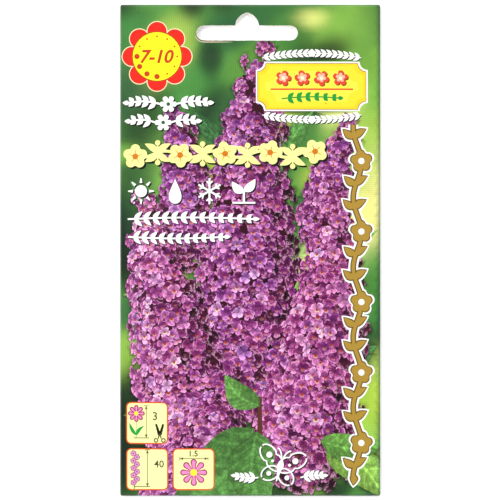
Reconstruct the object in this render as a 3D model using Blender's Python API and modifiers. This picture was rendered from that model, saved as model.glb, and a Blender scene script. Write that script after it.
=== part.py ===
# Seed packet of folded paper with a hang slot, lying on its back with the printed front up.
# Metres, +Z up, +Y towards the end with the slot. The origin is under the middle of the packet, at its lowest.
# One paper blank is folded at both sides, lapped and glued down the middle of the back, and closed at
# both ends by a flap that is turned over onto the back. The slot goes through every layer of the top end.

import math

import bmesh
import bpy
from mathutils import Matrix

MM = 0.001

# Driving dimensions
PACKET_WIDTH = 82.0 * MM
PACKET_LENGTH = 155.0 * MM
PAPER = 0.15 * MM
LAYER_GAP = 0.3 * MM
FRONT_RISE = 2.0 * MM
FLAT_BOTTOM = 3.0 * MM
LAP_WIDTH = 10.0 * MM
LAP_SLOPE = 3.5 * MM
BOTTOM_FLAP_LENGTH = 12.0 * MM
TOP_FLAP_LENGTH = 15.0 * MM
FLAP_TAPER = 3.5 * MM
FLAP_CORNER = 1.2 * MM

# The hang slot, a long bar with round ends and a low dome over its middle
SLOT_LENGTH = 32.0 * MM
SLOT_HEIGHT = 4.75 * MM
SLOT_DOME_WIDTH = 7.6 * MM
SLOT_DOME_HEIGHT = 4.1 * MM
SLOT_FROM_TOP = 11.4 * MM
SLOT_OFF_CENTRE = -1.0 * MM
BACK_SLOT_LIFT = 0.15 * MM
BACK_SLOT_TURN = math.radians(-0.7)
PUNCH_HALF_DEPTH = 5.0 * MM

# The seed sachet inside
SACHET_WIDTH = 50.0 * MM
SACHET_LENGTH = 66.0 * MM
SACHET_THICKNESS = 1.2 * MM
SACHET_BELOW_MIDDLE = 6.0 * MM
SACHET_EDGE_CREASE = 0.5

# How finely the curved pieces are divided
FRONT_COLUMNS = 18
FRONT_ROWS = 34
ROUND_STEPS = 8

# Finishes: linear colour, and roughness
PRINTED_FINISH = ((0.27, 0.11, 0.21), 0.35)
FLAP_FINISH = ((0.16, 0.28, 0.07), 0.35)
BACK_FINISH = ((0.86, 0.84, 0.68), 0.5)
SACHET_FINISH = ((0.80, 0.76, 0.66), 0.7)

# Heights of the undersides of the layers, from the flaps up
FLAP_LEVEL = 0.0
BACK_LEVEL = FLAP_LEVEL + PAPER + LAYER_GAP
LAP_LEVEL = BACK_LEVEL + PAPER + LAYER_GAP
FRONT_LEVEL = LAP_LEVEL + PAPER + LAYER_GAP
SACHET_LEVEL = FRONT_LEVEL

# Outer radii of the folds, and how far the flat layers stop short of each edge
SIDE_FOLD_RADIUS = (FRONT_LEVEL + PAPER - BACK_LEVEL) / 2
END_FOLD_RADIUS = (FRONT_LEVEL + PAPER - FLAP_LEVEL) / 2
SHEET_HALF_WIDTH = PACKET_WIDTH / 2 - SIDE_FOLD_RADIUS - LAYER_GAP
SHEET_HALF_LENGTH = PACKET_LENGTH / 2 - END_FOLD_RADIUS - LAYER_GAP

# The slope that lifts one back panel onto the lap
LAP_EDGE = LAP_WIDTH / 2
LAP_SLOPE_END = -LAP_EDGE - LAYER_GAP
LAP_SLOPE_START = LAP_SLOPE_END - LAP_SLOPE

# The front lies flat around the slot and near the other edges, and swells over the sachet
SWELL_BOTTOM = -PACKET_LENGTH / 2 + FLAT_BOTTOM
SWELL_TOP = PACKET_LENGTH / 2 - TOP_FLAP_LENGTH
SLOT_BOTTOM = PACKET_LENGTH / 2 - SLOT_FROM_TOP
SLOT_MIDDLE = SLOT_BOTTOM + SLOT_HEIGHT / 2


def clear_scene():
    for old in list(bpy.data.objects):
        bpy.data.objects.remove(old, do_unlink=True)


def new_collection(name):
    collection = bpy.data.collections.new(name)
    bpy.context.scene.collection.children.link(collection)
    return collection


def paper_material(name, finish):
    colour, roughness = finish
    material = bpy.data.materials.new(name + "_paper")
    material.use_nodes = True
    shader = material.node_tree.nodes["Principled BSDF"]
    shader.inputs["Base Color"].default_value = (*colour, 1.0)
    shader.inputs["Roughness"].default_value = roughness
    shader.inputs["Metallic"].default_value = 0.0
    return material


def add_object(name, mesh, collection, finish):
    obj = bpy.data.objects.new(name, mesh)
    collection.objects.link(obj)
    mesh.materials.append(paper_material(name, finish))
    return obj


def stations(start, end, count):
    """Evenly spaced places from start to end, count cells apart."""
    return [start + (end - start) * i / count for i in range(count + 1)]


def paper_sheet(name, columns, rows, underside, collection, finish):
    """A sheet of paper over the columns and rows. underside(x, y) is the height of its lower face."""
    bm = bmesh.new()
    bmesh.ops.create_grid(bm, x_segments=len(columns) - 1, y_segments=len(rows) - 1, size=1.0)
    for vertex in bm.verts:
        column = round((vertex.co.x + 1) / 2 * (len(columns) - 1))
        row = round((vertex.co.y + 1) / 2 * (len(rows) - 1))
        x, y = columns[column], rows[row]
        vertex.co = (x, y, underside(x, y))
    mesh = bpy.data.meshes.new(name)
    bm.to_mesh(mesh)
    bm.free()
    mesh.shade_smooth()
    sheet = add_object(name, mesh, collection, finish)
    thickness = sheet.modifiers.new("paper", "SOLIDIFY")
    thickness.thickness = PAPER
    thickness.offset = 1.0
    return sheet


def flat_shape(name, outline, half_depth, collection, finish):
    """A closed outline in the XY plane, extruded by half_depth to both sides, as a welded mesh object."""
    curve = bpy.data.curves.new(name, "CURVE")
    curve.dimensions = "2D"
    curve.fill_mode = "BOTH"
    curve.extrude = half_depth
    spline = curve.splines.new("POLY")
    spline.points.add(len(outline) - 1)
    for point, (x, y) in zip(spline.points, outline):
        point.co = (x, y, 0.0, 1.0)
    spline.use_cyclic_u = True
    source = bpy.data.objects.new(name + "_outline", curve)
    collection.objects.link(source)
    graph = bpy.context.evaluated_depsgraph_get()
    mesh = bpy.data.meshes.new_from_object(source.evaluated_get(graph))
    bpy.data.objects.remove(source, do_unlink=True)
    bm = bmesh.new()
    bm.from_mesh(mesh)
    bmesh.ops.remove_doubles(bm, verts=bm.verts, dist=0.001 * MM)
    bmesh.ops.recalc_face_normals(bm, faces=bm.faces)
    bm.to_mesh(mesh)
    bm.free()
    mesh.name = name
    mesh.materials.clear()
    return add_object(name, mesh, collection, finish)


def arc(centre, radius, start, end, steps):
    """Points on an arc about centre, from the angle start to the angle end, in radians."""
    return [
        (centre[0] + radius * math.cos(angle), centre[1] + radius * math.sin(angle))
        for angle in stations(start, end, steps)
    ]


def slot_outline():
    """The slot about the middle of its bar: two half-round ends, and a parabola on the middle of its top."""
    end = SLOT_HEIGHT / 2
    reach = SLOT_LENGTH / 2 - end
    right = arc((reach, 0.0), end, -math.pi / 2, math.pi / 2, ROUND_STEPS)
    left = arc((-reach, 0.0), end, math.pi / 2, math.pi * 3 / 2, ROUND_STEPS)
    half = SLOT_DOME_WIDTH / 2
    dome = [
        (x, end + SLOT_DOME_HEIGHT * (1 - (x / half) ** 2))
        for x in stations(half, -half, ROUND_STEPS)
    ]
    return right + dome + left


def slot_cutter(name, lift, turn, collection):
    """A punch in the shape of the slot, longer than the packet is thick."""
    punch = flat_shape(name, slot_outline(), PUNCH_HALF_DEPTH, collection, BACK_FINISH)
    punch.location = (SLOT_OFF_CENTRE, SLOT_MIDDLE + lift, 0.0)
    punch.rotation_euler = (0.0, 0.0, turn)
    punch.hide_render = True
    punch.display_type = "WIRE"
    return punch


def punch_slot(sheet, cutter):
    cut = sheet.modifiers.new("slot", "BOOLEAN")
    cut.operation = "DIFFERENCE"
    cut.solver = "EXACT"
    cut.object = cutter


def swell(x, y):
    """How far the front stands above its flat border: a smooth bulge, and nothing at the sides and ends."""
    across = min(abs(x) / SHEET_HALF_WIDTH, 1.0)
    along = (y - SWELL_BOTTOM) / (SWELL_TOP - SWELL_BOTTOM)
    if not 0.0 < along < 1.0:
        return 0.0
    return FRONT_RISE * (1 - across**4) ** 1.5 * math.sin(math.pi * along) ** 0.8


def front_underside(x, y):
    return FRONT_LEVEL + swell(x, y)


def lapped_underside(x, y):
    """The back panel that climbs a short slope and lies on the inside of the other one at the lap."""
    climb = (x - LAP_SLOPE_START) / (LAP_SLOPE_END - LAP_SLOPE_START)
    return BACK_LEVEL + (LAP_LEVEL - BACK_LEVEL) * min(max(climb, 0.0), 1.0)


def back_underside(x, y):
    return BACK_LEVEL


def fold_strip(name, radius, length, place, turn, collection):
    """Half a thin tube of paper, round the outside of a fold, laid along +Y and then turned about +Z."""
    outer = arc((0.0, 0.0), radius, -math.pi / 2, math.pi / 2, ROUND_STEPS)
    inner = arc((0.0, 0.0), radius - PAPER, math.pi / 2, -math.pi / 2, ROUND_STEPS)
    strip = flat_shape(name, outer + inner, length / 2, collection, PRINTED_FINISH)
    strip.rotation_euler = (math.pi / 2, 0.0, turn)
    strip.location = place
    return strip


def flap(name, end, length, collection):
    """A flap glued over the back at one end, +1 for the top. It narrows towards its round free corners."""
    fold_y = end * SHEET_HALF_LENGTH
    free_y = end * (PACKET_LENGTH / 2 - length)
    wide = SHEET_HALF_WIDTH
    narrow = wide - FLAP_TAPER
    inset = free_y + end * FLAP_CORNER
    side = arc((narrow - FLAP_CORNER, inset), FLAP_CORNER, 0.0, -end * math.pi / 2, ROUND_STEPS)
    mirrored = [(-x, y) for x, y in reversed(side)]
    outline = [(wide, fold_y), *side, *mirrored, (-wide, fold_y)]
    piece = flat_shape(name, outline, PAPER / 2, collection, FLAP_FINISH)
    piece.location = (0.0, 0.0, FLAP_LEVEL + PAPER / 2)
    return piece


def seed_sachet(collection):
    """The small sealed sachet that holds the seed: a flat pad, drawn in round its edges."""
    bpy.ops.mesh.primitive_cube_add(size=1.0)
    pad = bpy.context.object
    pad.name = "seed_sachet"
    for owner in list(pad.users_collection):
        owner.objects.unlink(pad)
    collection.objects.link(pad)
    pad.data.transform(Matrix.Diagonal((SACHET_WIDTH, SACHET_LENGTH, SACHET_THICKNESS, 1.0)))
    crease = pad.data.attributes.new("crease_edge", "FLOAT", "EDGE")
    for edge, value in zip(pad.data.edges, crease.data):
        value.value = SACHET_EDGE_CREASE
    soften = pad.modifiers.new("soft", "SUBSURF")
    soften.levels = 3
    soften.render_levels = 3
    pad.location = (0.0, -SACHET_BELOW_MIDDLE, SACHET_LEVEL + SACHET_THICKNESS / 2)
    pad.data.materials.append(paper_material(pad.name, SACHET_FINISH))
    pad.data.shade_smooth()
    return pad


def back_panels(collection, cutter):
    """The halves of the back. The left one climbs and ends inside the lap, the right one ends outside it."""
    ends = [-SHEET_HALF_LENGTH, SHEET_HALF_LENGTH]
    left = [-SHEET_HALF_WIDTH, LAP_SLOPE_START, LAP_SLOPE_END, LAP_EDGE]
    right = [-LAP_EDGE, SHEET_HALF_WIDTH]
    for name, columns, underside in (
        ("back_left_panel", left, lapped_underside),
        ("back_right_panel", right, back_underside),
    ):
        panel = paper_sheet(name, columns, ends, underside, collection, BACK_FINISH)
        punch_slot(panel, cutter)


def side_folds(collection):
    x = PACKET_WIDTH / 2 - SIDE_FOLD_RADIUS
    z = BACK_LEVEL + SIDE_FOLD_RADIUS
    length = 2 * SHEET_HALF_LENGTH
    fold_strip("right_fold", SIDE_FOLD_RADIUS, length, (x, 0.0, z), 0.0, collection)
    fold_strip("left_fold", SIDE_FOLD_RADIUS, length, (-x, 0.0, z), math.pi, collection)


def end_folds(collection):
    y = PACKET_LENGTH / 2 - END_FOLD_RADIUS
    z = FLAP_LEVEL + END_FOLD_RADIUS
    fold_strip("top_fold", END_FOLD_RADIUS, PACKET_WIDTH, (0.0, y, z), math.pi / 2, collection)
    fold_strip("bottom_fold", END_FOLD_RADIUS, PACKET_WIDTH, (0.0, -y, z), -math.pi / 2, collection)


def build():
    clear_scene()
    packet = new_collection("seed_packet")
    cutters = new_collection("cutters")
    front_punch = slot_cutter("front_slot_punch", 0.0, 0.0, cutters)
    back_punch = slot_cutter("back_slot_punch", BACK_SLOT_LIFT, BACK_SLOT_TURN, cutters)

    across = stations(-SHEET_HALF_WIDTH, SHEET_HALF_WIDTH, FRONT_COLUMNS)
    along = stations(-SHEET_HALF_LENGTH, SHEET_HALF_LENGTH, FRONT_ROWS)
    front = paper_sheet("front_panel", across, along, front_underside, packet, PRINTED_FINISH)
    punch_slot(front, front_punch)
    back_panels(packet, back_punch)
    side_folds(packet)
    end_folds(packet)
    top_flap = flap("top_flap", 1, TOP_FLAP_LENGTH, packet)
    punch_slot(top_flap, back_punch)
    flap("bottom_flap", -1, BOTTOM_FLAP_LENGTH, packet)
    seed_sachet(packet)


build()
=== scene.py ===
# Flat seed packet of folded coated paper: a full-colour flower print in front, a plain printed back.
# It lies on its back on a pale table. Prints are drawn in millimetres from the middle of each panel,
# x to the right and y up as a reader sees them, and are then laid over the folded shape of the paper.
import math
from itertools import chain

import bpy
import numpy as np
from mathutils.geometry import delaunay_2d_cdt
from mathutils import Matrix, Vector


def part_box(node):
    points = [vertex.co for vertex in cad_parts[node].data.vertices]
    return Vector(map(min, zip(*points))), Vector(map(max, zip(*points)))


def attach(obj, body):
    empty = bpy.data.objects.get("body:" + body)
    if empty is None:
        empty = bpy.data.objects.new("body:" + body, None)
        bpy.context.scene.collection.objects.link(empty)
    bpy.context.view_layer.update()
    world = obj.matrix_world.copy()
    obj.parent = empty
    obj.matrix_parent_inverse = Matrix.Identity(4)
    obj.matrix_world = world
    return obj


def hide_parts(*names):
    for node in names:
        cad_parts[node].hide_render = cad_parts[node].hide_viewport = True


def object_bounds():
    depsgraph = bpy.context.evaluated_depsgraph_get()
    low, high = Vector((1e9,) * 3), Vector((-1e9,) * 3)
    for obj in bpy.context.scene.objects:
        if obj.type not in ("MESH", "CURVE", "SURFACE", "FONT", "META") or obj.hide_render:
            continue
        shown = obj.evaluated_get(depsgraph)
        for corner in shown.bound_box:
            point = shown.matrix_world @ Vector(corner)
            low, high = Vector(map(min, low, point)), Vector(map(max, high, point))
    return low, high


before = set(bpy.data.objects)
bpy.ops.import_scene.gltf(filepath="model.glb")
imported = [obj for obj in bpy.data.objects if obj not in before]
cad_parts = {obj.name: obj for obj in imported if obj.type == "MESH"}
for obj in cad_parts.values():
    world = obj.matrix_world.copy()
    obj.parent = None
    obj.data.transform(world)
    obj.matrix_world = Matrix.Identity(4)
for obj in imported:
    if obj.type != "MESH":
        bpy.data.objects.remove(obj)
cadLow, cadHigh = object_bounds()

mm = 0.001
tau = 2 * math.pi
goldenShare = (math.sqrt(5) - 1) / 2
backdropKind, floretKind, leafKind, solidKind = range(4)   # the inks' kinds, and their material slots


def nodeSpan(node):   # the lowest and highest corner of a node, in millimetres
    low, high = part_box(node)
    return np.array(low) / mm, np.array(high) / mm


frontLow, frontHigh = nodeSpan("front_panel")
flapLow, flapHigh = nodeSpan("top_flap")
backLow, backHigh = nodeSpan("back_right_panel")
innerLow, innerHigh = nodeSpan("back_left_panel")
sachetLow, sachetHigh = nodeSpan("seed_sachet")

packet = {
    "halfWidth": float(cadHigh.x - cadLow.x) / 2 / mm,
    "halfLength": float(cadHigh.y - cadLow.y) / 2 / mm,
    "paper": float(flapHigh[2] - flapLow[2]),
    "lapEdge": float(innerHigh[0]),                  # the lap reaches this far to both sides of the middle
    "topFlap": float(cadHigh.y / mm - flapLow[1]),   # length of the flap behind the slot
}
packet["frontFace"] = float(frontLow[2]) + packet["paper"]
packet["sideRadius"] = (packet["frontFace"] - float(backLow[2])) / 2
packet["endRadius"] = packet["frontFace"] / 2
packet["flatX"] = packet["halfWidth"] - packet["sideRadius"]
packet["flatY"] = packet["halfLength"] - packet["endRadius"]
print("packet", {name: round(size, 3) for name, size in packet.items()})


def linear(hexColour):   # sRGB hex to linear light
    srgb = np.array([int(hexColour[i:i + 2], 16) for i in (1, 3, 5)]) / 255
    return np.where(srgb <= 0.04045, srgb / 12.92, ((srgb + 0.055) / 1.055) ** 2.4)


def addNode(tree, kind, inputs, **settings):   # a node with its settings and links; gives its outputs
    made = tree.nodes.new("ShaderNode" + kind)
    for name, value in settings.items():
        setattr(made, name, value)
    for name, value in inputs.items():
        if isinstance(value, bpy.types.NodeSocket):
            tree.links.new(value, made.inputs[name])
        else:
            made.inputs[name].default_value = value
    return made.outputs


# Outlines. Each function gives points in millimetres, anticlockwise or not, as (points, 2) or as
# (shapes, points, 2).

boxCorners = np.array([[1, 1], [-1, 1], [-1, -1], [1, -1]])   # anticlockwise from the upper right


def ways(angle):   # unit vectors at these angles: (cos, sin)
    return np.stack([np.cos(angle), np.sin(angle)], -1)


def crossway(run):   # each run turned a quarter to the left, at unit length: (-y, x) over the length
    run = np.asarray(run, float)
    return np.stack([-run[..., 1], run[..., 0]], -1) / np.linalg.norm(run, axis=-1, keepdims=True)


def turned(points, angle):   # each point turned about the origin
    c, s = math.cos(angle), math.sin(angle)
    return points @ np.array([[c, s], [-s, c]])


def circle(centre, radius, count=24):   # centre plus radius times (cos, sin)
    return np.array(centre) + radius * ways(np.arange(count) * tau / count)


def blossom(centre, reach, petals, depth, turn=0.0, count=8):
    # radius = reach * (1 - depth + depth * sqrt|cos(petals * angle / 2)|): round petals, notched between
    angle = np.arange(petals * count) * tau / (petals * count)
    radius = reach * (1 - depth + depth * np.sqrt(np.abs(np.cos(petals * angle / 2))))
    return np.array(centre) + radius[:, None] * ways(angle + turn)


def stroke(line, width):
    # a line pushed out to both sides by half its width, along the normals of its running direction
    line = np.asarray(line, float)
    along = np.gradient(line, axis=0)
    along /= np.linalg.norm(along, axis=1, keepdims=True)
    side = np.stack([-along[:, 1], along[:, 0]], -1) * (np.broadcast_to(width, len(line)) / 2)[:, None]
    return np.concatenate([line + side, (line - side)[::-1]])


def roundedBox(centre, size, corner, count=5):   # four quarter circles joined by straight sides
    angle = (np.arange(4) * math.pi / 2)[:, None] + np.linspace(0, math.pi / 2, count)
    points = (boxCorners * (np.array(size) / 2 - corner))[:, None] + corner * ways(angle)
    return np.array(centre) + points.reshape(-1, 2)


def leafProfile(t):
    # half width along a lance-shaped leaf, as a share of its fullest: a sine arch, fullest near the base
    return np.sin(math.pi * np.clip(t, 0, 1) ** 0.75) ** 0.9


def leaves(base, tip, width, bend=0.0, count=11):
    # a centre line bowed by bend times a sine arch, and the leaf profile to both sides of it
    base, tip = np.atleast_2d(base).astype(float), np.atleast_2d(tip).astype(float)
    width, bend = (np.broadcast_to(value, len(base)).astype(float)[:, None] for value in (width, bend))
    t = np.linspace(0, 1, count)
    run, side = tip - base, crossway(tip - base)
    bow = side[:, None] * (bend * np.sin(math.pi * t))[..., None]
    middle = base[:, None] + run[:, None] * t[:, None] + bow
    half = side[:, None] * (width / 2 * leafProfile(t))[..., None]
    return np.concatenate([middle + half, (middle - half)[:, -2:0:-1]], 1)


def slotOutline(shift=(0.0, 0.0), turn=0.0, count=14):
    # a bar with half-round ends and a full, slightly pointed dome over its middle, nibbled a little by the
    # punch; the dome is a power of a parabola, less a little of |x| for the point
    end = slot["height"] / 2
    reach = slot["length"] / 2 - end
    cap = end * ways(np.linspace(-math.pi / 2, math.pi / 2, count))
    x = np.linspace(1, -1, 2 * count - 1)
    arch = (1 - x ** 2) ** slot["domePower"] * (1 - slot["domePoint"] * np.abs(x))
    dome = np.stack([x * slot["domeWidth"] / 2, end + slot["domeHeight"] * arch], -1)
    edge = np.stack([np.linspace(reach, slot["domeWidth"] / 2, count + 2)[1:-1], np.full(count, end)], -1)
    foot = np.stack([np.linspace(-reach, reach, 3 * count)[1:-1], np.full(3 * count - 2, -end)], -1)
    points = np.concatenate([cap + [reach, 0], edge, dome, edge[::-1] * [-1, 1], -cap - [reach, 0], foot])
    points += slot["nibble"] * np.random.default_rng(slot["seed"]).uniform(-1, 1, points.shape)
    return turned(points, turn) + [slot["x"] + shift[0], slot["y"] + shift[1]]


slot = {
    "length": 32.0,
    "height": 4.75,
    "domeWidth": 7.6,
    "domeHeight": 4.1,
    "domePower": 0.55,
    "domePoint": 0.16,
    "x": -1.0,
    "y": packet["halfLength"] - 11.4 + 4.75 / 2,   # the bar's lower side is 11.4 below the packet's top edge
    "nibble": 0.045,                               # how ragged the punch leaves the coated edge
    "seed": 8,
    "backShift": (0.0, 0.15),
    "backTurn": math.radians(-0.7),
}


# A print is a pile of shapes, first ones underneath. Each has an outline, a kind of ink, a colour, a local
# frame (centre and two axes) that its pattern follows, and two facts for its shader: a floret's turn and
# how much its eye shows, or a leaf's width and bend.

def newPrint():
    return {"outlines": [], "kind": [np.zeros(0, int)], "colour": [np.zeros((0, 3))],
            "centre": [np.zeros((0, 2))], "axes": [np.zeros((0, 2, 2))], "facts": [np.zeros((0, 2))]}


def divided(outline, step):   # extra points on long edges, so that no triangle is much longer than a step
    following = np.roll(outline, -1, 0)
    parts = np.maximum(np.ceil(np.linalg.norm(following - outline, axis=1) / step), 1).astype(int)
    edge = np.repeat(np.arange(len(outline)), parts)
    share = (np.arange(len(edge)) - np.repeat(np.cumsum(parts) - parts, parts)) / parts[edge]
    return outline[edge] + (following - outline)[edge] * share[:, None]


def anticlockwise(outlines):   # an outline whose signed area is negative is run through backwards
    following = np.roll(outlines, -1, -2)
    area = (outlines[..., 0] * following[..., 1] - outlines[..., 1] * following[..., 0]).sum(-1)
    return np.where(area[..., None, None] < 0, outlines[..., ::-1, :], outlines)


def lay(pile, outlines, kind, colour, centre=(0.0, 0.0), axes=((1.0, 0.0), (0.0, 1.0)), facts=(0.0, 0.0)):
    outlines = np.asarray(outlines, float)
    if outlines.ndim == 2:
        outlines = outlines[None]
    count = len(outlines)
    pile["outlines"].append(anticlockwise(outlines))
    pile["kind"].append(np.full(count, kind))
    colour = linear(colour) if isinstance(colour, str) else colour
    pile["colour"].append(np.broadcast_to(colour, (count, 3)))
    pile["centre"].append(np.broadcast_to(centre, (count, 2)))
    pile["axes"].append(np.broadcast_to(axes, (count, 2, 2)))
    pile["facts"].append(np.broadcast_to(facts, (count, 2)))


def layFlat(pile, colour, *outlines):   # shapes in one flat ink
    for outline in outlines:
        lay(pile, outline, solidKind, colour)


def layShadowed(pile, outlines, colour, drop=(0.42, -0.42)):   # flat shapes over their own dropped shadows
    layFlat(pile, ornament["shadow"], *[outline + np.array(drop) for outline in outlines])
    layFlat(pile, colour, *outlines)


def numerals(text, centre, height, slant=0.0, weight=0.0):
    # plain figures from the built-in font, as triangles, slanted by a shear and centred
    curve = bpy.data.curves.new("numerals", "FONT")
    curve.body = text
    curve.size = height / 0.7
    curve.offset = weight * height
    curve.shear = slant
    curve.resolution_u = 3
    writer = bpy.data.objects.new("numerals", curve)
    bpy.context.scene.collection.objects.link(writer)
    mesh = bpy.data.meshes.new_from_object(writer.evaluated_get(bpy.context.evaluated_depsgraph_get()))
    mesh.calc_loop_triangles()
    corners = np.zeros(len(mesh.loop_triangles) * 3, int)
    mesh.loop_triangles.foreach_get("vertices", corners)
    points = np.zeros(len(mesh.vertices) * 3)
    mesh.vertices.foreach_get("co", points)
    points = points.reshape(-1, 3)[:, :2]
    bpy.data.objects.remove(writer)
    bpy.data.meshes.remove(mesh)
    triangles = points[corners.reshape(-1, 3)] - (points.min(0) + points.max(0)) / 2 + np.array(centre)
    a, b = triangles[:, 1] - triangles[:, 0], triangles[:, 2] - triangles[:, 0]
    # slivers are dropped, because they would leak over the whole sheet
    return triangles[np.abs(a[:, 0] * b[:, 1] - a[:, 1] * b[:, 0]) > 1e-3]


def shapesOver(pile, panel):   # one row for each shape whose box meets the panel's box
    shapes = [outline for layer in pile["outlines"] for outline in layer]
    low, high = panel.min(0), panel.max(0)
    meets = np.array([bool((s.max(0) > low).all() and (s.min(0) < high).all()) for s in shapes], bool)
    rows = {name: np.concatenate(pile[name])[meets] for name in ("kind", "colour", "centre", "axes", "facts")}
    rows["outline"] = [s for s, kept in zip(shapes, meets) if kept]
    return rows


def keptRows(rows, keep):
    kept = {name: values[keep] for name, values in rows.items() if name != "outline"}
    kept["outline"] = [s for s, stays in zip(rows["outline"], keep) if stays]
    return kept


def ringEdges(loops, start):   # the closed edges of loops whose points are numbered from start on
    edges = []
    for loop in loops:
        ring = np.arange(start, start + len(loop))
        edges += np.stack([ring, np.roll(ring, -1)], -1).tolist()
        start += len(loop)
    return edges


def cutAlongOutlines(shapes, panel, holes, guides, spacing):
    # every outline is cut into the plane at once, with a grid of loose points so that the sheet can bend;
    # each triangle then belongs to the last shape laid over it
    loops = [anticlockwise(panel)] + shapes + [anticlockwise(hole) for hole in holes]
    starts = np.concatenate([[0], np.cumsum([len(loop) for loop in loops])])
    faces = [list(range(a, b)) for a, b in zip(starts[:-1], starts[1:])]
    edges = ringEdges(guides, int(starts[-1]))
    low, high = panel.min(0), panel.max(0)
    gridX, gridY = np.meshgrid(np.arange(low[0], high[0], spacing), np.arange(low[1], high[1], spacing))
    gridX = gridX + spacing / 2 * (np.arange(gridX.shape[0]) % 2)[:, None]
    points = np.concatenate(loops + guides + [np.stack([gridX, gridY], -1).reshape(-1, 2)])
    cut = delaunay_2d_cdt(points.tolist(), edges, faces, 1, 1e-5, True)
    points = np.array([tuple(point) for point in cut[0]])
    triangles = np.array(cut[2])
    lengths = np.fromiter(map(len, cut[5]), int)
    face = np.fromiter(chain.from_iterable(cut[5]), int)      # each triangle with each loop that it lies in
    owned = np.repeat(np.arange(len(triangles)), lengths)
    middle = points[triangles].mean(1)[owned]
    low, high = (np.array([edge(loop, 0) for loop in loops]) for edge in (np.min, np.max))
    astray = (middle < low[face]).any(1) | (middle > high[face]).any(1)
    right = ~astray
    for leaky in np.unique(face[astray]):
        # a loop that touches itself can spill over the sheet, so its triangles are tested again
        suspects = np.nonzero((face == leaky) & right)[0]
        right[suspects] = insideOutline(middle[suspects], loops[leaky])
    face, owned = face[right], owned[right]
    held, first = np.unique(owned, return_index=True)
    owner = np.maximum.reduceat(face, first)
    # loop 0 is the panel, and the loops after the shapes are holes
    keep = (np.minimum.reduceat(face, first) == 0) & (owner <= len(shapes))
    triangles, owner = triangles[held][keep], owner[keep]
    used, triangles = np.unique(triangles, return_inverse=True)
    return points[used], triangles.reshape(-1, 3), owner - 1   # -1 is the bare panel


def areas(points, triangles):
    a, b, c = (points[triangles[:, i]] for i in range(3))
    return np.abs((b - a)[:, 0] * (c - a)[:, 1] - (b - a)[:, 1] * (c - a)[:, 0]) / 2


def rimEdges(triangles):   # the edges that only one triangle has, in that triangle's running direction
    edges = np.concatenate([triangles[:, [0, 1]], triangles[:, [1, 2]], triangles[:, [2, 0]]])
    low, high = edges.min(1), edges.max(1)
    where, counts = np.unique(low * (high.max() + 1) + high, return_inverse=True, return_counts=True)[1:]
    return edges[counts[where.ravel()] == 1]


def insideOutline(points, outline):   # even-odd rule: how often a ray to the right crosses the outline
    ax, ay = outline.T
    bx, by = np.roll(outline, -1, 0).T
    y = points[:, 1:2]
    crosses = (ay > y) != (by > y)
    at = ax + (y - ay) / np.where(by == ay, 1, by - ay) * (bx - ax)
    return (crosses & (points[:, :1] < at)).sum(1) % 2 == 1


def underside(points, rim, panel, holes, guides, spacing):
    # the sheet's lower face: the same rim and guide lines, with only a coarse grid between them
    ids, edges = np.unique(rim, return_inverse=True)
    edges = edges.reshape(-1, 2).tolist() + ringEdges(guides, len(ids))
    border = points[ids]
    low, high = border.min(0) + spacing / 2, border.max(0) - spacing / 2
    axis = [np.linspace(a, b, max(int((b - a) / spacing), 1) + 1) for a, b in zip(low, high)]
    grid = np.stack(np.meshgrid(*axis), -1).reshape(-1, 2)
    cut = delaunay_2d_cdt(np.concatenate([border, *guides, grid]).tolist(), edges, [], 1, 1e-6, True)
    lowPoints = np.array([tuple(point) for point in cut[0]])
    triangles = np.array(cut[2])
    middles = lowPoints[triangles].mean(1)
    keep = insideOutline(middles, panel)
    for hole in holes:
        keep &= ~insideOutline(middles, hole)
    lengths = np.fromiter(map(len, cut[3]), int)
    sources = np.fromiter(chain.from_iterable(cut[3]), int)   # which given points each new point stands for
    places = np.repeat(np.arange(len(lengths)), lengths)
    onRim = sources < len(ids)
    below = np.full(len(points), -1)
    below[ids[sources[onRim]]] = places[onRim]
    return lowPoints, triangles[keep], below


def normalsOf(place, points, depth=0.0):   # the cross product of two small steps along the sheet
    step = 0.02
    east = place(points + [step, 0], depth) - place(points - [step, 0], depth)
    north = place(points + [0, step], depth) - place(points - [0, step], depth)
    normal = np.cross(east, north)
    return normal / np.maximum(np.linalg.norm(normal, axis=1, keepdims=True), 1e-12)


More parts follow.
